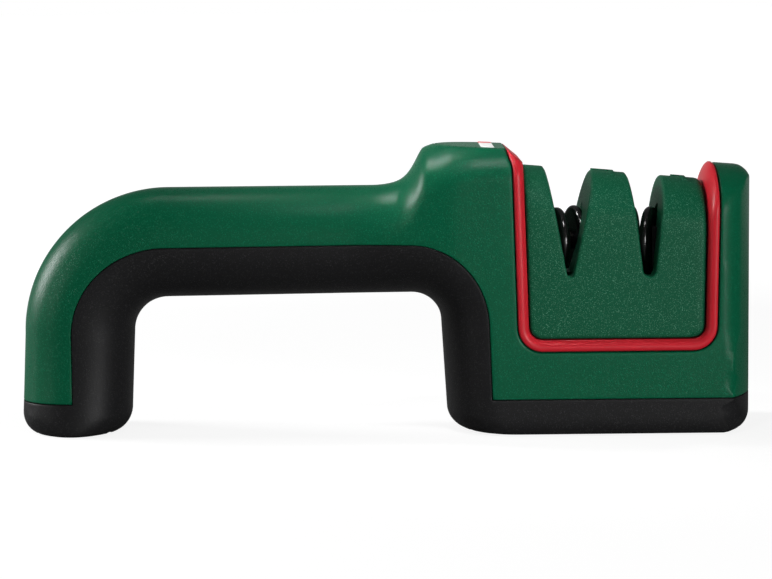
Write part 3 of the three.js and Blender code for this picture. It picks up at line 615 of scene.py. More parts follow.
def windowRuns(line, grow, leftTop, rightTop, turnStep, step=1.1, first=(), last=()):
    # Down the left side, along the bottom and up the right side, as five runs
    corner = upper[line]["corner"] + grow
    low = upper[line]["bottom"] - grow
    spring = low + corner
    left, right = (sideX(line, side, spring, grow) for side in (-1, 1))
    return [
        runUp(lambda z: sideX(line, -1, z, grow), leftTop[1], spring, step, first),
        arcRun((left + corner, spring), corner, 180, 270, turnStep),
        lineRun((left + corner, low), (right - corner, low)),
        arcRun((right - corner, spring), corner, 270, 360, turnStep),
        lineRun((right, spring), rightTop, step, last=last),
    ]


def makeUpperShell():
    gap = body["gap"]
    windowGap = upper["windowGap"]
    windowEdge = body["windowEdge"]
    flatEdge = body["flatEdge"]
    end = body["halfLength"]
    edge = edgeRows(body["partingEdge"])
    flatX = meeting(lambda x: float(topHeight(x)) - slopeZ("flatSlope", x), 5, 25)
    flatEnd = topCorner("window", -1, windowGap, lambda x: slopeZ("flatSlope", x))
    postTop = topCorner("window", 1, windowGap, topHeight)
    endTop = float(topHeight(np.array(end)))
    left = joinRuns(
        runUp(outerLegX, upper["footSplit"] + gap, leftZ, first=edge),
        arcRun((leftX, leftZ), body["leftOuterRadius"], 180, 90),
        runAcross(topHeight, leftX, flatX, last=edgeRows(flatEdge)),
    )
    flat = lineRun((flatX, slopeZ("flatSlope", flatX)), flatEnd, 0.9, roundRows)
    nearPost = pastEdge(windowEdge, roundRows)
    window = joinRuns(*windowRuns("window", windowGap, flatEnd, postTop, 0.9, last=nearPost))
    post = runAcross(topHeight, postTop[0], end, 0.6, edgeRows(windowEdge))
    endSide = lineRun((end, endTop), (end, upper["baseSplit"] + gap), last=edge)
    runs = [
        roundRun(left, roundRows),
        cutRun(flat, flatEdge, 1.0),
        cutRun(window, windowEdge, 1.1),
        roundRun(post, roundRows[:5]),
        roundRun(endSide, endRows),
        cutRun(partingRuns(gap), body["partingEdge"], 0.9),
    ]
    return liftedPiece("upperShell", runs, bodyDepth, body["meshSpacing"])


# Black lower body, with recesses in its soles for the screws and the pads
lowerSizes = {
    "cutBottom": -2.0,
    "sinkRadius": 3.02,
    "sinks": [  # x, y and top
        (33.4, -15.3, 7.95),
        (93.4, -15.3, 7.95),
        (33.4, 15.3, 7.95),
        (93.4, 15.3, 7.95),
        (-95.0, 0.0, 7.05),
    ],
    "padTop": 1.6,
    "pads": [(41.7, 86.3, 15.3, 4.3), (-88.8, -78.2, 6.8, 4.3)],
}


def makeLowerShell():
    gap = body["gap"]
    sole = body["soleHeight"]
    footLow = body["footSole"]
    soleEdge = body["soleEdge"]
    edge = edgeRows(body["partingEdge"])
    soleRows = edgeRows(soleEdge)
    nearSole = pastEdge(soleEdge, roundRows)
    footSide = runUp(outerLegX, upper["footSplit"] - gap, footLow, 0.7, edge, soleRows)
    footEnds = [(float(legX(footLow)), footLow) for legX in (outerLegX, innerLegX)]
    footSole = lineRun(*footEnds, first=nearSole, last=nearSole)
    inner = joinRuns(
        runUp(innerLegX, footLow, leftZ, 0.9, soleRows),
        arcRun((leftX, leftZ), body["leftInnerRadius"], 180, 90, 0.9),
        runAcross(undersideAt, leftX, rightX),
        arcRun((rightX, rightZ), body["rightInnerRadius"], 90, 0, 0.8),
        runUp(innerPostX, rightZ, sole, 0.9, last=soleRows),
    )
    headEnds = [(float(lineX(sole)), sole) for lineX in (innerPostX, endX)]
    headSole = lineRun(*headEnds, first=nearSole, last=pastEdge(soleEdge, endRows))
    endSide = runUp(endX, sole, upper["baseSplit"] - gap, 0.6, soleRows, edge)
    runs = [
        cutRun(partingRuns(-gap), body["partingEdge"], 0.9),
        roundRun(footSide, roundRows),
        cutRun(footSole, soleEdge, 1.3),
        roundRun(inner, roundRows),
        cutRun(headSole, soleEdge, 1.3),
        roundRun(endSide, endRows),
    ]
    shell = liftedPiece("lowerShell", runs, bodyDepth, body["meshSpacing"])
    recesses = [
        (arcPoints(x, y, lowerSizes["sinkRadius"], range(0, 360, 9)), top)
        for x, y, top in lowerSizes["sinks"]
    ]
    recesses += [(roundedRectangle(*pad), lowerSizes["padTop"]) for pad in lowerSizes["pads"]]
    bottom = lowerSizes["cutBottom"]
    cutWith(shell, [prism("recess", outline, bottom, top) for outline, top in recesses])
    return shell


# Lip of the lower body behind the parting gap, so that no light shows through it
lipSizes = {"halfWidth": 0.7, "inset": 1.1, "endClear": 2.5, "meshSpacing": 0.9}


def makeSeamLip():
    low = float(outerLegX(upper["footSplit"])) + lipSizes["endClear"]
    high = body["halfLength"] - lipSizes["endClear"]
    outer, inner = (partingRuns(grow) for grow in (lipSizes["halfWidth"], -lipSizes["halfWidth"]))
    outer = outer[(outer[:, 0] > low) & (outer[:, 0] < high)]
    inner = inner[(inner[:, 0] > low) & (inner[:, 0] < high)][::-1]
    sides = [outer, lineRun(outer[-1], inner[0]), inner, lineRun(inner[-1], outer[0])]
    runs = [("wall", points, 0, []) for points in sides]

    def lipDepth(x, z, inset):
        return bodyDepth(x, z, lipSizes["inset"])

    return liftedPiece("seamLip", runs, lipDepth, lipSizes["meshSpacing"])


upperShell = makeUpperShell()
lowerShell = makeLowerShell()
seamLip = makeSeamLip()

# Red trim, a bead round the window that stands proud at its crest
trim = {
    "proud": 0.4,
    "outerInset": 0.3,
    "innerInset": 1.7,
    "beadWidth": 2.85,
    "crestShare": 0.34,
    "fallPower": 2.2,
    "fallReach": 0.985,
    "roundDrop": 4.5,
    "roundStart": 93.12,
    "roundLength": 3.2,
    "roundBlend": (62.2, 27.7),
    "topEdgeZ": 74.0,
    "endEdge": 0.5,
    "meshSpacing": 1.2,
}


def trimDrop(x):
    # The right arm's top is rounded down to its inner side.
    inward = np.clip((trim["roundStart"] - x) / trim["roundLength"], 0, 1)
    start, length = trim["roundBlend"]
    return trim["roundDrop"] * inward**2 * smoothStep((x - start) / length)


def trimInset(distance):
    share = np.clip(distance / trim["beadWidth"], 0, 1)
    crest = trim["crestShare"]
    proud = trim["proud"]
    rise = np.sqrt(np.clip(1 - (1 - share / crest) ** 2, 0, 1))
    outside = blendOf(trim["outerInset"], -proud, rise)
    fall = np.clip((share - crest) / (1 - crest), 0, 1) ** trim["fallPower"]
    fallen = 1 - np.sqrt(1 - trim["fallReach"] * fall)
    return np.where(share < crest, outside, blendOf(-proud, trim["innerInset"], fallen))


def trimTop(x):
    inset = trimInset(sideX("window", 1, trim["topEdgeZ"]) - x)
    return topHeight(x) - trimDrop(x) - inset


def makeTrimFrame():
    outerLeft, innerLeft = (
        topCorner(line, -1, 0, lambda x: slopeZ("armSlope", x)) for line in ("window", "trimInside")
    )
    outerRight, innerRight = (topCorner(line, 1, 0, trimTop) for line in ("window", "trimInside"))
    outer = joinRuns(*windowRuns("window", 0, outerLeft, outerRight, 0.9, last=roundRows))
    top = runAcross(trimTop, outerRight[0], innerRight[0], 0.25)
    inner = joinRuns(*windowRuns("trimInside", 0, innerLeft, innerRight, 0.6, last=roundRows))[::-1]
    slope = lineRun(innerLeft, outerLeft, 0.25)

    def trimDepth(x, z, inset):
        distance = distancesTo(np.stack([x, z], axis=1), outer[:-1], outer[1:])
        return bodyDepth(x, z, trimInset(distance) + inset, trimDrop(x))

    runs = [
        ("wall", outer, 0, [0.1, 0.26, 0.5, 0.78, 1.06, 1.45]),
        roundRun(top, [0.15, 0.5, 1.1, 1.8]),
        ("wall", inner, 0, [0.08, 0.22, 0.45, 0.8, 1.2]),
        cutRun(slope, trim["endEdge"]),
    ]
    return liftedPiece("trimFrame", runs, trimDepth, trim["meshSpacing"])


trimFrame = makeTrimFrame()

# Cover with the two V slots
cover = {
    "halfDepth": 19.4,
    "archHeight": 13.0,
    "top": 74.8,
    "fall": 0.088,
    "clearance": 0.3,
    "slotEdge": 0.7,
    "sideEdge": 1.0,
    "endEdge": 1.7,
    "slots": [
        {"x": 51.7, "floor": 44.4, "radius": 1.0, "left": 0.185, "right": 0.215},
        {"x": 73.7, "floor": 44.3, "radius": 1.8, "left": 0.125, "right": 0.11},
    ],
    "meshSpacing": 0.95,
}


def coverTop(x):
    return cover["top"] - cover["fall"] * (x - upper["window"]["left"])


def coverDepth(x, z, inset):
    share = roundedShare(coverTop(x) - inset - z, cover["archHeight"], 2)
    return (cover["halfDepth"] - inset) * share


def slotSide(slot, side, lean):
    # Top and lower end of one leaning side of a slot, and the turn of its lean
    reach, turn = 20, math.atan(lean)
    centreZ = slot["floor"] + slot["radius"]
    lowX = slot["x"] + side * slot["radius"] * math.cos(turn)
    lowZ = centreZ - slot["radius"] * math.sin(turn)

    def beyond(x):
        return side * (x - lowX) - lean * (float(coverTop(x)) - centreZ)

    topX = meeting(beyond, slot["x"], slot["x"] + side * reach)
    return (topX, float(coverTop(topX))), (lowX, lowZ), math.degrees(turn)


def makeInsertCover():
    slotEdge, sideEdge, endEdge = (cover[name] for name in ("slotEdge", "sideEdge", "endEdge"))
    slotRows, sideRows, nearEnd = edgeRows(slotEdge), edgeRows(sideEdge), edgeRows(endEdge)
    nearSlotTop = pastEdge(slotEdge, roundRows)
    grow = -cover["clearance"]
    leftTop = topCorner("trimInside", -1, grow, coverTop)
    rightTop = topCorner("trimInside", 1, grow, coverTop)
    runs = []
    startX, startRows = leftTop[0], sideRows
    for slot in cover["slots"]:
        leftEnd, leftLowEnd, leftTurn = slotSide(slot, -1, slot["left"])
        rightEnd, rightLowEnd, rightTurn = slotSide(slot, 1, slot["right"])
        hump = runAcross(coverTop, startX, leftEnd[0], 0.7, startRows, slotRows)
        centre = (slot["x"], slot["floor"] + slot["radius"])
        vee = joinRuns(
            lineRun(leftEnd, leftLowEnd, 0.9, nearSlotTop),
            arcRun(centre, slot["radius"], 180 + leftTurn, 360 - rightTurn, 0.25),
            lineRun(rightLowEnd, rightEnd, 0.9, last=nearSlotTop),
        )
        runs += [roundRun(hump, roundRows), cutRun(vee, slotEdge, 1.2)]
        startX, startRows = rightEnd[0], slotRows
    hump = runAcross(coverTop, startX, rightTop[0], 0.7, startRows, nearEnd)
    nearTops = [pastEdge(edge, roundRows) for edge in (sideEdge, endEdge)]
    sides = windowRuns("trimInside", grow, leftTop, rightTop, 0.6, 1.0, *nearTops)
    right, lower = joinRuns(*sides[3:])[::-1], joinRuns(*sides[:3])[::-1]
    runs += [roundRun(hump, roundRows), cutRun(right, endEdge, 2.9), cutRun(lower, sideEdge, 1.5)]
    return liftedPiece("insertCover", runs, coverDepth, cover["meshSpacing"])


# The four discs; each seat is a node, a centre, and the x and y of the disc's axis
discSizes = {
    "radius": 9.8,
    "thickness": 2.8,
    "edge": 1.35,
    "rimFlat": 1.2,
    "bore": 3.1,
    "boreRow": 0.15,
    "edgeSteps": 16,
    "sides": 96,
    "pocketClearance": 0.9,
    "pocketSteps": 48,
    "seats": [
        ("coarse_disc_front", (49.0, -3.5, 52.8), (-0.978148, -0.207912)),
        ("coarse_disc_rear", (54.4, 3.5, 52.8), (0.978148, 0.207912)),
        ("fine_disc_front", (75.25, -3.5, 52.8), (0.956305, -0.292372)),
        ("fine_disc_rear", (70.15, 3.5, 52.8), (-0.956305, 0.292372)),
    ],
}


def seatPlace(centre, axis, across, up, out):
    return (
        centre[0] + axis[0] * out - axis[1] * across,
        centre[1] + axis[1] * out + axis[0] * across,
        centre[2] + up,
    )


def pocketCutter(centre, axis):
    clearance = discSizes["pocketClearance"]
    radius = discSizes["radius"] + clearance
    half = discSizes["thickness"] / 2 + clearance
    turns = np.linspace(0, 180, discSizes["pocketSteps"] + 1)
    outline = [(-radius, -radius), (radius, -radius), *arcPoints(0, 0, radius, turns)]
    return prism("pocket", outline, -half, half, lambda *place: seatPlace(centre, axis, *place))


insertCover = makeInsertCover()
cutWith(insertCover, [pocketCutter(centre, axis) for _, centre, axis in discSizes["seats"]])
print("scene: pockets cut")


def discProfile():
    # From the bore out along one face, round the rim and back along the other face
    half = discSizes["thickness"] / 2
    edge = discSizes["edge"]
    rimCentre = discSizes["radius"] - edge
    turns = np.linspace(-90, 90, discSizes["edgeSteps"] + 1)
    face = [discSizes["bore"], discSizes["bore"] + discSizes["boreRow"]]
    face.append(rimCentre - discSizes["rimFlat"])
    return [
        *[(distance, -half) for distance in face],
        *arcPoints(rimCentre, edge - half, edge, turns[turns < 0]),
        *arcPoints(rimCentre, half - edge, edge, turns[turns >= 0]),
        *[(distance, half) for distance in reversed(face)],
    ]


def makeDisc(name, centre, axis):
    profile = discProfile()
    sides = discSizes["sides"]
    count = len(profile)
    vertices = []
    faces = []
    for side in range(sides):
        turn = 2 * math.pi * side / sides
        for distance, out in profile:
            across, up = distance * math.cos(turn), distance * math.sin(turn)
            vertices.append(seatPlace(centre, axis, across, up, out))
        low, high = side * count, (side + 1) % sides * count
        for step in range(count):
            ahead = (step + 1) % count
            faces.append([low + step, high + step, high + ahead, low + ahead])
    boreFaces = range(count - 1, len(faces), count)
    piece = newMesh(name, vertices, faces, boreFaces)
    reshape(piece, faceOutwards)
    return piece


def pieceName(node):
    first, *rest = node.split("_")
    return first + "".join(word.capitalize() for word in rest)


discs = {node: makeDisc(pieceName(node), centre, axis) for node, centre, axis in discSizes["seats"]}
print("scene: discs made")

# Raised angle marks on the middle and the right hump
markSizes = {
    "height": 0.42,
    "sunk": 0.4,
    "stroke": 1.25,
    "edge": 0.12,
    "rimAngle": 0.9,
    "smoothBelow": 40,
    "longSteps": (12, 24),
    "strokeSteps": 5,
    "marks": {
        "coarseMark": {"low": 58.9, "high": 65.15, "front": -7.0, "rear": 2.6},
        "fineMark": {"low": 81.6, "high": 85.4, "front": -6.1, "rear": 2.6},
    },
}


def coverSurfaceZ(x, y):
    share = np.clip(abs(y) / cover["halfDepth"], 0, 1)
    return coverTop(x) - cover["archHeight"] * (1 - math.sqrt(1 - share**2))


def markPlaces(low, high, steps):
    start = high - markSizes["stroke"]
    stroke = np.linspace(start, high, markSizes["strokeSteps"])
    return np.unique(np.concatenate([np.linspace(low, start, steps), stroke]))


def makeMark(name, place):
    longAcross, longDeep = markSizes["longSteps"]
    columns = markPlaces(place["low"], place["high"], longAcross)
    levels = markPlaces(place["front"], place["rear"], longDeep)
    vertices = {}
    faces = []
    for column in range(len(columns) - 1):
        for level in range(len(levels) - 1):
            middleX = (columns[column] + columns[column + 1]) / 2
            middleY = (levels[level] + levels[level + 1]) / 2
            fromHigh, fromRear = place["high"] - middleX, place["rear"] - middleY
            if min(fromHigh, fromRear) < markSizes["stroke"]:
                corners = [(0, 0), (1, 0), (1, 1), (0, 1)]
                keys = [(column + right, level + back) for right, back in corners]
                faces.append([vertices.setdefault(key, len(vertices)) for key in keys])
    points = [(columns[column], levels[level], 0.0) for column, level in vertices]
    piece = newMesh(name, points, faces)

    def change(shaped):
        raised = bmesh.ops.extrude_face_region(shaped, geom=list(shaped.faces))["geom"]
        tops = {element for element in raised if isinstance(element, bmesh.types.BMVert)}
        for vertex in shaped.verts:
            surface = coverSurfaceZ(vertex.co.x / millimetre, vertex.co.y / millimetre)
            offset = markSizes["height"] if vertex in tops else -markSizes["sunk"]
            vertex.co.z = (surface + offset) * millimetre
        faceOutwards(shaped)
        rim = [
            edge
            for edge in shaped.edges
            if tops.issuperset(edge.verts) and edge.calc_face_angle(0) > markSizes["rimAngle"]
        ]
        bevelEdges(shaped, rim, markSizes["edge"])

    reshape(piece, change)
    smoothBelow(piece, markSizes["smoothBelow"])
    return piece


marks = {name: makeMark(name, place) for name, place in markSizes["marks"].items()}

# White plate with its red stripe, on the flat of the left post
badgeSizes = {
    "low": 27.3,
    "width": 3.7,
    "halfDepth": 13.0,
    "thickness": 0.35,
    "sunk": 0.15,
    "edge": 0.12,
    "smoothBelow": 50,
    "stripe": 6.0,
}


def makeBadge():
    low = badgeSizes["low"]
    high = low + badgeSizes["width"]
    deep = badgeSizes["halfDepth"]
    top = badgeSizes["thickness"] - badgeSizes["sunk"]
    outline = [(low, -deep), (high, -deep), (high, deep), (low, deep)]

    def onFlat(x, y, out):
        return x, y, slopeZ("flatSlope", x) + out

    piece = prism("badgePlate", outline, -badgeSizes["sunk"], top, onFlat)
    reshape(piece, lambda shaped: bevelEdges(shaped, list(shaped.edges), badgeSizes["edge"]))
    smoothBelow(piece, badgeSizes["smoothBelow"])
    return piece


badgePlate = makeBadge()
print("scene: marks and badge made")


# Materials
def colour(code):
    # From sRGB, as a maker writes it, to the linear values that Blender takes
    channels = [int(code[index : index + 2], 16) / 255 for index in (0, 2, 4)]
    return (*[c / 12.92 if c <= 0.04045 else ((c + 0.055) / 1.055) ** 2.4 for c in channels], 1.0)


def operator(operation, swapped=False):
    def method(self, other):
        first, second = (other, self) if swapped else (self, other)
        return self.math(operation, first, second)

    return method


class Wire:
    # A node's output, which adds Math nodes when it is reckoned with
    def __init__(self, tree, socket=None):
        self.tree = tree
        self.socket = socket

    def plug(self, target, value):
        if isinstance(value, Wire):
            self.tree.links.new(value.socket, target)
        else:
            target.default_value = value

    def node(self, kind, settings, sockets, output=0):
        made = self.tree.nodes.new(kind)
        for name, value in settings.items():
            setattr(made, name, value)
        for name, value in sockets.items():
            self.plug(made.inputs[name], value)
        return Wire(self.tree, made.outputs[output])

    def math(self, operation, first, second, clamp=False):
        settings = {"operation": operation, "use_clamp": clamp}
        return self.node("ShaderNodeMath", settings, {0: first, 1: second})

    __add__ = __radd__ = operator("ADD")
    __sub__, __rsub__ = operator("SUBTRACT"), operator("SUBTRACT", True)
    __mul__ = __rmul__ = operator("MULTIPLY")
    __truediv__ = operator("DIVIDE")
    __gt__ = operator("GREATER_THAN")

    def clamped(self):
        return self.math("ADD", self, 0.0, True)

    def mixed(self, first, second):
        settings = {"data_type": "RGBA", "clamp_factor": True}
        return self.node("ShaderNodeMix", settings, {0: self, 6: first, 7: second}, 2)

    def noise(self, scale, detail=2.0):
        sockets = {"Vector": self, "Scale": scale, "Detail": detail}
        return self.node("ShaderNodeTexNoise", {}, sockets, "Fac")

    def part(self, axis):
        return self.node("ShaderNodeSeparateXYZ", {}, {"Vector": self}, axis)

    def bump(self, strength, depth):
        sockets = {"Strength": strength, "Distance": depth * millimetre, "Height": self}
        return self.node("ShaderNodeBump", {}, sockets, "Normal")


def newMaterial(name):
    material = bpy.data.materials.new(name)
    material.use_nodes = True
    tree = material.node_tree
    return material, Wire(tree).node("ShaderNodeTexCoord", {}, {}, "Object")


def setShader(material, sockets):
    tree = material.node_tree
    for name, value in sockets.items():
        Wire(tree).plug(tree.nodes["Principled BSDF"].inputs[name], value)
    return material


def grainedPlastic(name, look):
    # Fine grain with a share of brighter flakes
    material, place = newMaterial(name)
    share = look["flakeShare"]
    cloud = place.noise(look["cloudScale"])
    grain = place.noise(look["grainScale"], 1.5)
    cellSockets = {"Vector": place, "Scale": look["flakeScale"]}
    cells = place.node("ShaderNodeTexVoronoi", {}, cellSockets, "Color")
    lot = place.node("ShaderNodeSeparateColor", {}, {"Color": cells}, "Red")
    flake = ((lot - (1 - share)) / share).clamped()
    clouded = (cloud - 0.5) * look["cloudContrast"]
    tone = ((grain - 0.5) * look["grainContrast"] + 0.5 + clouded).clamped()
    tinted = tone.mixed(colour(look["deep"]), colour(look["light"]))
    spread = (grain - 0.5) * look["roughnessSpread"]
    relief = grain + flake * look["flakeRise"]
    return setShader(
        material,
        {
            "Base Color": (flake * look["flakeStrength"]).mixed(tinted, colour(look["flake"])),
            "Roughness": look["roughness"] + spread - flake * look["flakeGloss"],
            "Normal": relief.bump(look["bumpStrength"], look["bumpDepth"]),
            "IOR": look["ior"],
            "Specular IOR Level": look["specular"],
        },
    )


greenLook = {
    "deep": "00452d",
    "light": "005638",
    "flake": "2f8a68",
    "cloudScale": 55.0,
    "cloudContrast": 0.25,
    "grainScale": 4200.0,
    "grainContrast": 1.1,
    "flakeScale": 4600.0,
    "flakeShare": 0.2,
    "flakeStrength": 0.35,
    "flakeGloss": 0.12,
    "flakeRise": 0.6,
    "roughness": 0.34,
    "roughnessSpread": 0.14,
    "bumpStrength": 0.5,
    "bumpDepth": 0.07,
    "ior": 1.5,
    "specular": 0.13,
}

coverLook = {
    **greenLook,
    "deep": "004029",
    "light": "005437",
    "flake": "6fb294",
    "flakeScale": 7600.0,
    "flakeShare": 0.12,
    "flakeStrength": 0.5,
    "roughness": 0.5,
    "bumpStrength": 0.6,
}

blackLook = {
    **greenLook,
    "deep": "131314",
    "light": "1d1d1e",
    "flake": "3e3e3f",
    "flakeShare": 0.15,
    "grainContrast": 1.2,
    "roughness": 0.42,
}

# The carrier is darker than the black body: painted shade for the dark slots it is seen through.
carrierShadeLook = {
    **blackLook,
    "deep": "0c0c0d",
    "light": "151516",
    "flake": "242425",
    "roughness": 0.5,
    "bumpStrength": 0.2,
}


def smoothPlastic(name, look):
    material, place = newMaterial(name)
    cloud = place.noise(look["cloudScale"], 3.0)
    fine = place.noise(look["fineScale"])
    return setShader(
        material,
        {
            "Base Color": cloud.mixed(colour(look["deep"]), colour(look["light"])),
            "Roughness": look["roughness"] + (cloud - 0.5) * look["roughnessSpread"],
            "Normal": fine.bump(look["bumpStrength"], look["bumpDepth"]),
            "IOR": look["ior"],
            "Specular IOR Level": look["specular"],
            "Coat Weight": look["coat"],
            "Coat Roughness": look["coatRoughness"],
        },
    )


redLook = {
    "deep": "b01c27",
    "light": "c2222e",
    "cloudScale": 90.0,
    "fineScale": 2200.0,
    "bumpStrength": 0.15,
    "bumpDepth": 0.02,
    "roughness": 0.36,
    "roughnessSpread": 0.1,
    "ior": 1.5,
    "specular": 0.16,
    "coat": 0.06,
    "coatRoughness": 0.2,
}

ceramicLook = {
    **redLook,
    "deep": "060606",
    "light": "101010",
    "cloudScale": 900.0,
    "fineScale": 5200.0,
    "bumpStrength": 0.5,
    "roughness": 0.22,
    "roughnessSpread": 0.12,
    "specular": 0.5,
    "coat": 0.2,
    "coatRoughness": 0.12,
}

rubberLook = {
    **redLook,
    "deep": "101010",
    "light": "1b1b1b",
    "roughness": 0.85,
    "bumpStrength": 0.6,
    "coat": 0.0,
}


def brushedMetal(name, look):
    material, place = newMaterial(name)
    stretch = {"Vector": place, "Scale": look["stretch"]}
    lines = place.node("ShaderNodeMapping", {}, stretch, "Vector").noise(look["lineScale"], 3.0)
    cloud = place.noise(look["cloudScale"])
    mixture = lines * look["lineShare"] + cloud * (1 - look["lineShare"])
    return setShader(
        material,
        {
            "Base Color": mixture.mixed(colour(look["deep"]), colour(look["light"])),
            "Roughness": look["roughness"] + (lines - 0.5) * look["roughnessSpread"],
            "Metallic": 1.0,
            "Normal": lines.bump(look["bumpStrength"], look["bumpDepth"]),
        },
    )


steelLook = {
    "deep": "8d9095",
    "light": "b9bcc0",
    "stretch": (1.0, 1.0, 14.0),
    "lineScale": 900.0,
    "lineShare": 0.6,
    "cloudScale": 300.0,
    "bumpStrength": 0.25,
    "bumpDepth": 0.02,
    "roughness": 0.3,
    "roughnessSpread": 0.2,
}

# The pins and the bushes are coloured near black as painted shade for the dark slots they sit in,
# and only the screws show steel.
pinShadeLook = {**steelLook, "deep": "17181a", "light": "242528", "roughness": 0.45}
bushShadeLook = {**steelLook, "deep": "141312", "light": "201e1b", "roughness": 0.5}

badgeLook = {
    "plate": "f4f4f2",
    "shade": "e6e6e3",
    "stripe": "e0202c",
    "cloudScale": 260.0,
    "roughness": 0.35,
    "roughnessSpread": 0.1,
}


def stripedPlate(name, look):
    material, place = newMaterial(name)
    stripeStart = (badgeSizes["halfDepth"] - badgeSizes["stripe"]) * millimetre
    cloud = place.noise(look["cloudScale"])
    plate = cloud.mixed(colour(look["plate"]), colour(look["shade"]))
    return setShader(
        material,
        {
            "Base Color": (place.part("Y") > stripeStart).mixed(plate, colour(look["stripe"])),
            "Roughness": look["roughness"] + (cloud - 0.5) * look["roughnessSpread"],
        },
    )


materials = {
    "green_body": grainedPlastic("greenBody", greenLook),
    "black_body": grainedPlastic("blackBody", blackLook),
    "red_trim": smoothPlastic("redTrim", redLook),
    "green_cover": grainedPlastic("greenCover", coverLook),
    "grey_carrier": grainedPlastic("carrierPaintedShade", carrierShadeLook),
    "abrasive": smoothPlastic("abrasive", ceramicLook),
    "steel": brushedMetal("steel", steelLook),
    "brass_bush": brushedMetal("bushPaintedShade", bushShadeLook),
    "rubber_pad": smoothPlastic("rubberPad", rubberLook),
    "white_plate": stripedPlate("whitePlate", badgeLook),
}
# The pins take the near-black steel, which is painted shade for the slots.
shadedPinMaterial = brushedMetal("pinSteelPaintedShade", pinShadeLook)

for subpart in frame["record"]["subparts"]:
    isPin = subpart["node"].endswith("_pin")
    nodeMaterials = frame["nodes"][subpart["node"]].data.materials
    nodeMaterials.clear()
    nodeMaterials.append(shadedPinMaterial if isPin else materials[subpart["material_slot"]])


def install(piece, slot, *nodes, rides="sharpener_body"):
    piece.data.materials.clear()
    piece.data.materials.append(materials[slot])
    piece.data.polygons.foreach_set("material_index", np.zeros(len(piece.data.polygons), np.int32))
    piece.data.update()
    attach(piece, rides)
    if nodes:
        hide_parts(*nodes)


install(upperShell, "green_body", "upper_shell")
install(lowerShell, "black_body", "lower_shell")
install(seamLip, "black_body")
install(trimFrame, "red_trim", "trim_frame")
install(insertCover, "green_cover", "insert_cover")
install(badgePlate, "white_plate", "badge_plate")
for mark in marks.values():
    install(mark, "green_cover")
for node, disc in discs.items():
    install(disc, "abrasive", node, rides=f"{node}_body")
print("scene: materials set")

# Floor, light and camera; lengths in metres from here on
stage = {
    "floor": "808080",
    "floorSize": 40.0,
    "floorRoughness": 0.9,
    "floorSpecular": 0.1,
    "glowStart": 0.3,
    "glowLength": 0.3,
    "glowNear": "eeeeee",
    "world": 0.1,
    "reflected": 0.4,
    "floorBehind": (0.3, 0.5),  # start and length of the blend to what is seen as behind
    "worldBehind": (0.93, 0.06),
}

# Each light's place, aim, size, power and spread in degrees
lights = {
    "key": ((-0.95, 0.2, 0.38), (-0.02, 0.0, 0.045), (0.4, 0.4), 12.0, 180.0),
    "fill": ((-1.0, -0.65, 0.25), (0.0, 0.0, 0.04), (0.5, 0.4), 1.8, 180.0),
    "near": ((0.14, -0.8, 0.14), (0.03, 0.0, 0.05), (0.1, 0.2), 0.35, 180.0),
    "top": ((0.03, -0.12, 0.32), (0.022, 0.0, 0.078), (0.035, 0.035), 0.018, 40.0),
    "crest": ((-0.09, 0.06, 0.3), (0.015, 0.0, 0.075), (0.035, 0.035), 0.017, 40.0),
    "right": ((0.65, -0.95, 0.2), (0.05, 0.0, 0.04), (0.5, 0.35), 9.3, 180.0),
}

white = (1.0, 1.0, 1.0, 1.0)
black = (0.0, 0.0, 0.0, 1.0)


def blended(value, startAndLength):
    start, length = startAndLength
    return ((value - start) / length).clamped()


def whiteSeen(behind):
    # One for camera rays, and a share of it for reflections and glass that look behind the object
    camera, glossy, transmission = (
        behind.node("ShaderNodeLightPath", {}, {}, f"Is {kind} Ray")
        for kind in ("Camera", "Glossy", "Transmission")
    )
    return (camera + (glossy + transmission) * behind * stage["reflected"]).clamped()


def makeWorld():
    world = bpy.data.worlds.new("studio")
    world.use_nodes = True
    bpy.context.scene.world = world
    background = world.node_tree.nodes["Background"]
    direction = Wire(world.node_tree).node("ShaderNodeTexCoord", {}, {}, "Generated")
    seen = whiteSeen(blended(direction.part("Y"), stage["worldBehind"]))
    strength = stage["world"] + seen * (1.0 - stage["world"])
    direction.plug(background.inputs["Strength"], strength)
    direction.plug(background.inputs["Color"], white)


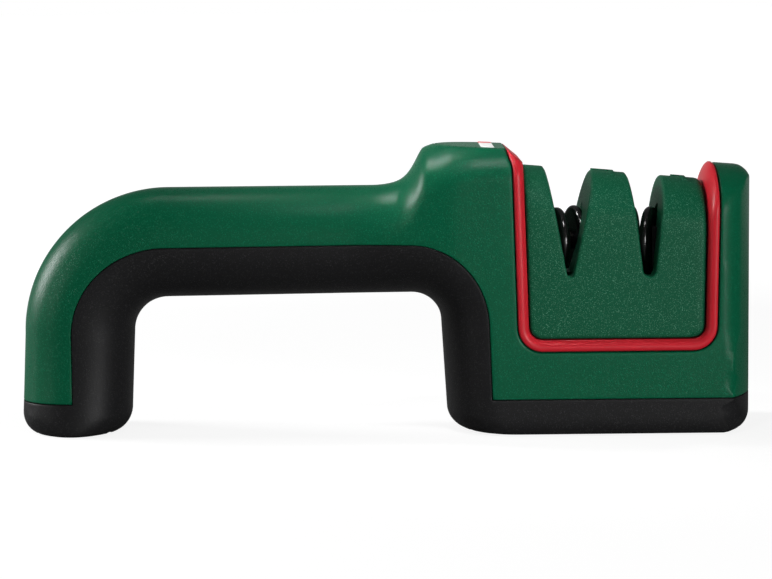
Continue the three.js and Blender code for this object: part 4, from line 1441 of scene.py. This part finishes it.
def makeFloor():
    half = stage["floorSize"] / 2 / millimetre
    corners = [(-half, -half, 0), (half, -half, 0), (half, half, 0), (-half, half, 0)]
    floor = newMesh("floor", corners, [(0, 1, 2, 3)])
    material, place = newMaterial("floor")
    distance = place.node("ShaderNodeVectorMath", {"operation": "LENGTH"}, {0: place}, "Value")
    far = blended(distance, (stage["glowStart"], stage["glowLength"]))
    glow = far.mixed(colour(stage["glowNear"]), white)
    seen = whiteSeen(blended(place.part("Y"), stage["floorBehind"]))
    setShader(
        material,
        {
            "Base Color": colour(stage["floor"]),
            "Roughness": stage["floorRoughness"],
            "Specular IOR Level": stage["floorSpecular"],
            "Emission Color": seen.mixed(black, glow),
            "Emission Strength": 1.0,
        },
    )
    floor.data.materials.append(material)


def makeLight(name, place, aim, size, power, spread):
    data = bpy.data.lights.new(name, "AREA")
    data.shape = "RECTANGLE"
    data.size, data.size_y = size
    data.energy = power
    data.spread = math.radians(spread)
    light = bpy.data.objects.new(name, data)
    light.location = place
    direction = Vector(aim) - Vector(place)
    light.rotation_euler = direction.to_track_quat("-Z", "Y").to_euler()
    bpy.context.scene.collection.objects.link(light)


cameraLook = {
    "at": (0.00045, -0.74, 0.12216),
    "pitch": 6.387,
    "roll": 0.6,
    "focalPixels": 2613.0,
    "imageWidth": 772.0,
    "sensor": 36.0,
    "clipStart": 0.05,
}


def makeCamera():
    data = bpy.data.cameras.new("camera")
    data.sensor_width = cameraLook["sensor"]
    data.sensor_fit = "HORIZONTAL"
    data.lens = cameraLook["focalPixels"] / cameraLook["imageWidth"] * cameraLook["sensor"]
    data.clip_start = cameraLook["clipStart"]
    camera = bpy.data.objects.new("camera", data)
    bpy.context.scene.collection.objects.link(camera)
    camera.matrix_world = (
        Matrix.Translation(cameraLook["at"])
        @ Matrix.Rotation(math.radians(90 - cameraLook["pitch"]), 4, "X")
        @ Matrix.Rotation(math.radians(-cameraLook["roll"]), 4, "Z")
    )
    bpy.context.scene.camera = camera


makeFloor()
for lightName, lightLook in lights.items():
    makeLight(lightName, *lightLook)
makeWorld()
makeCamera()
bpy.context.scene.view_settings.view_transform = "Standard"
print("scene: stage and camera set")
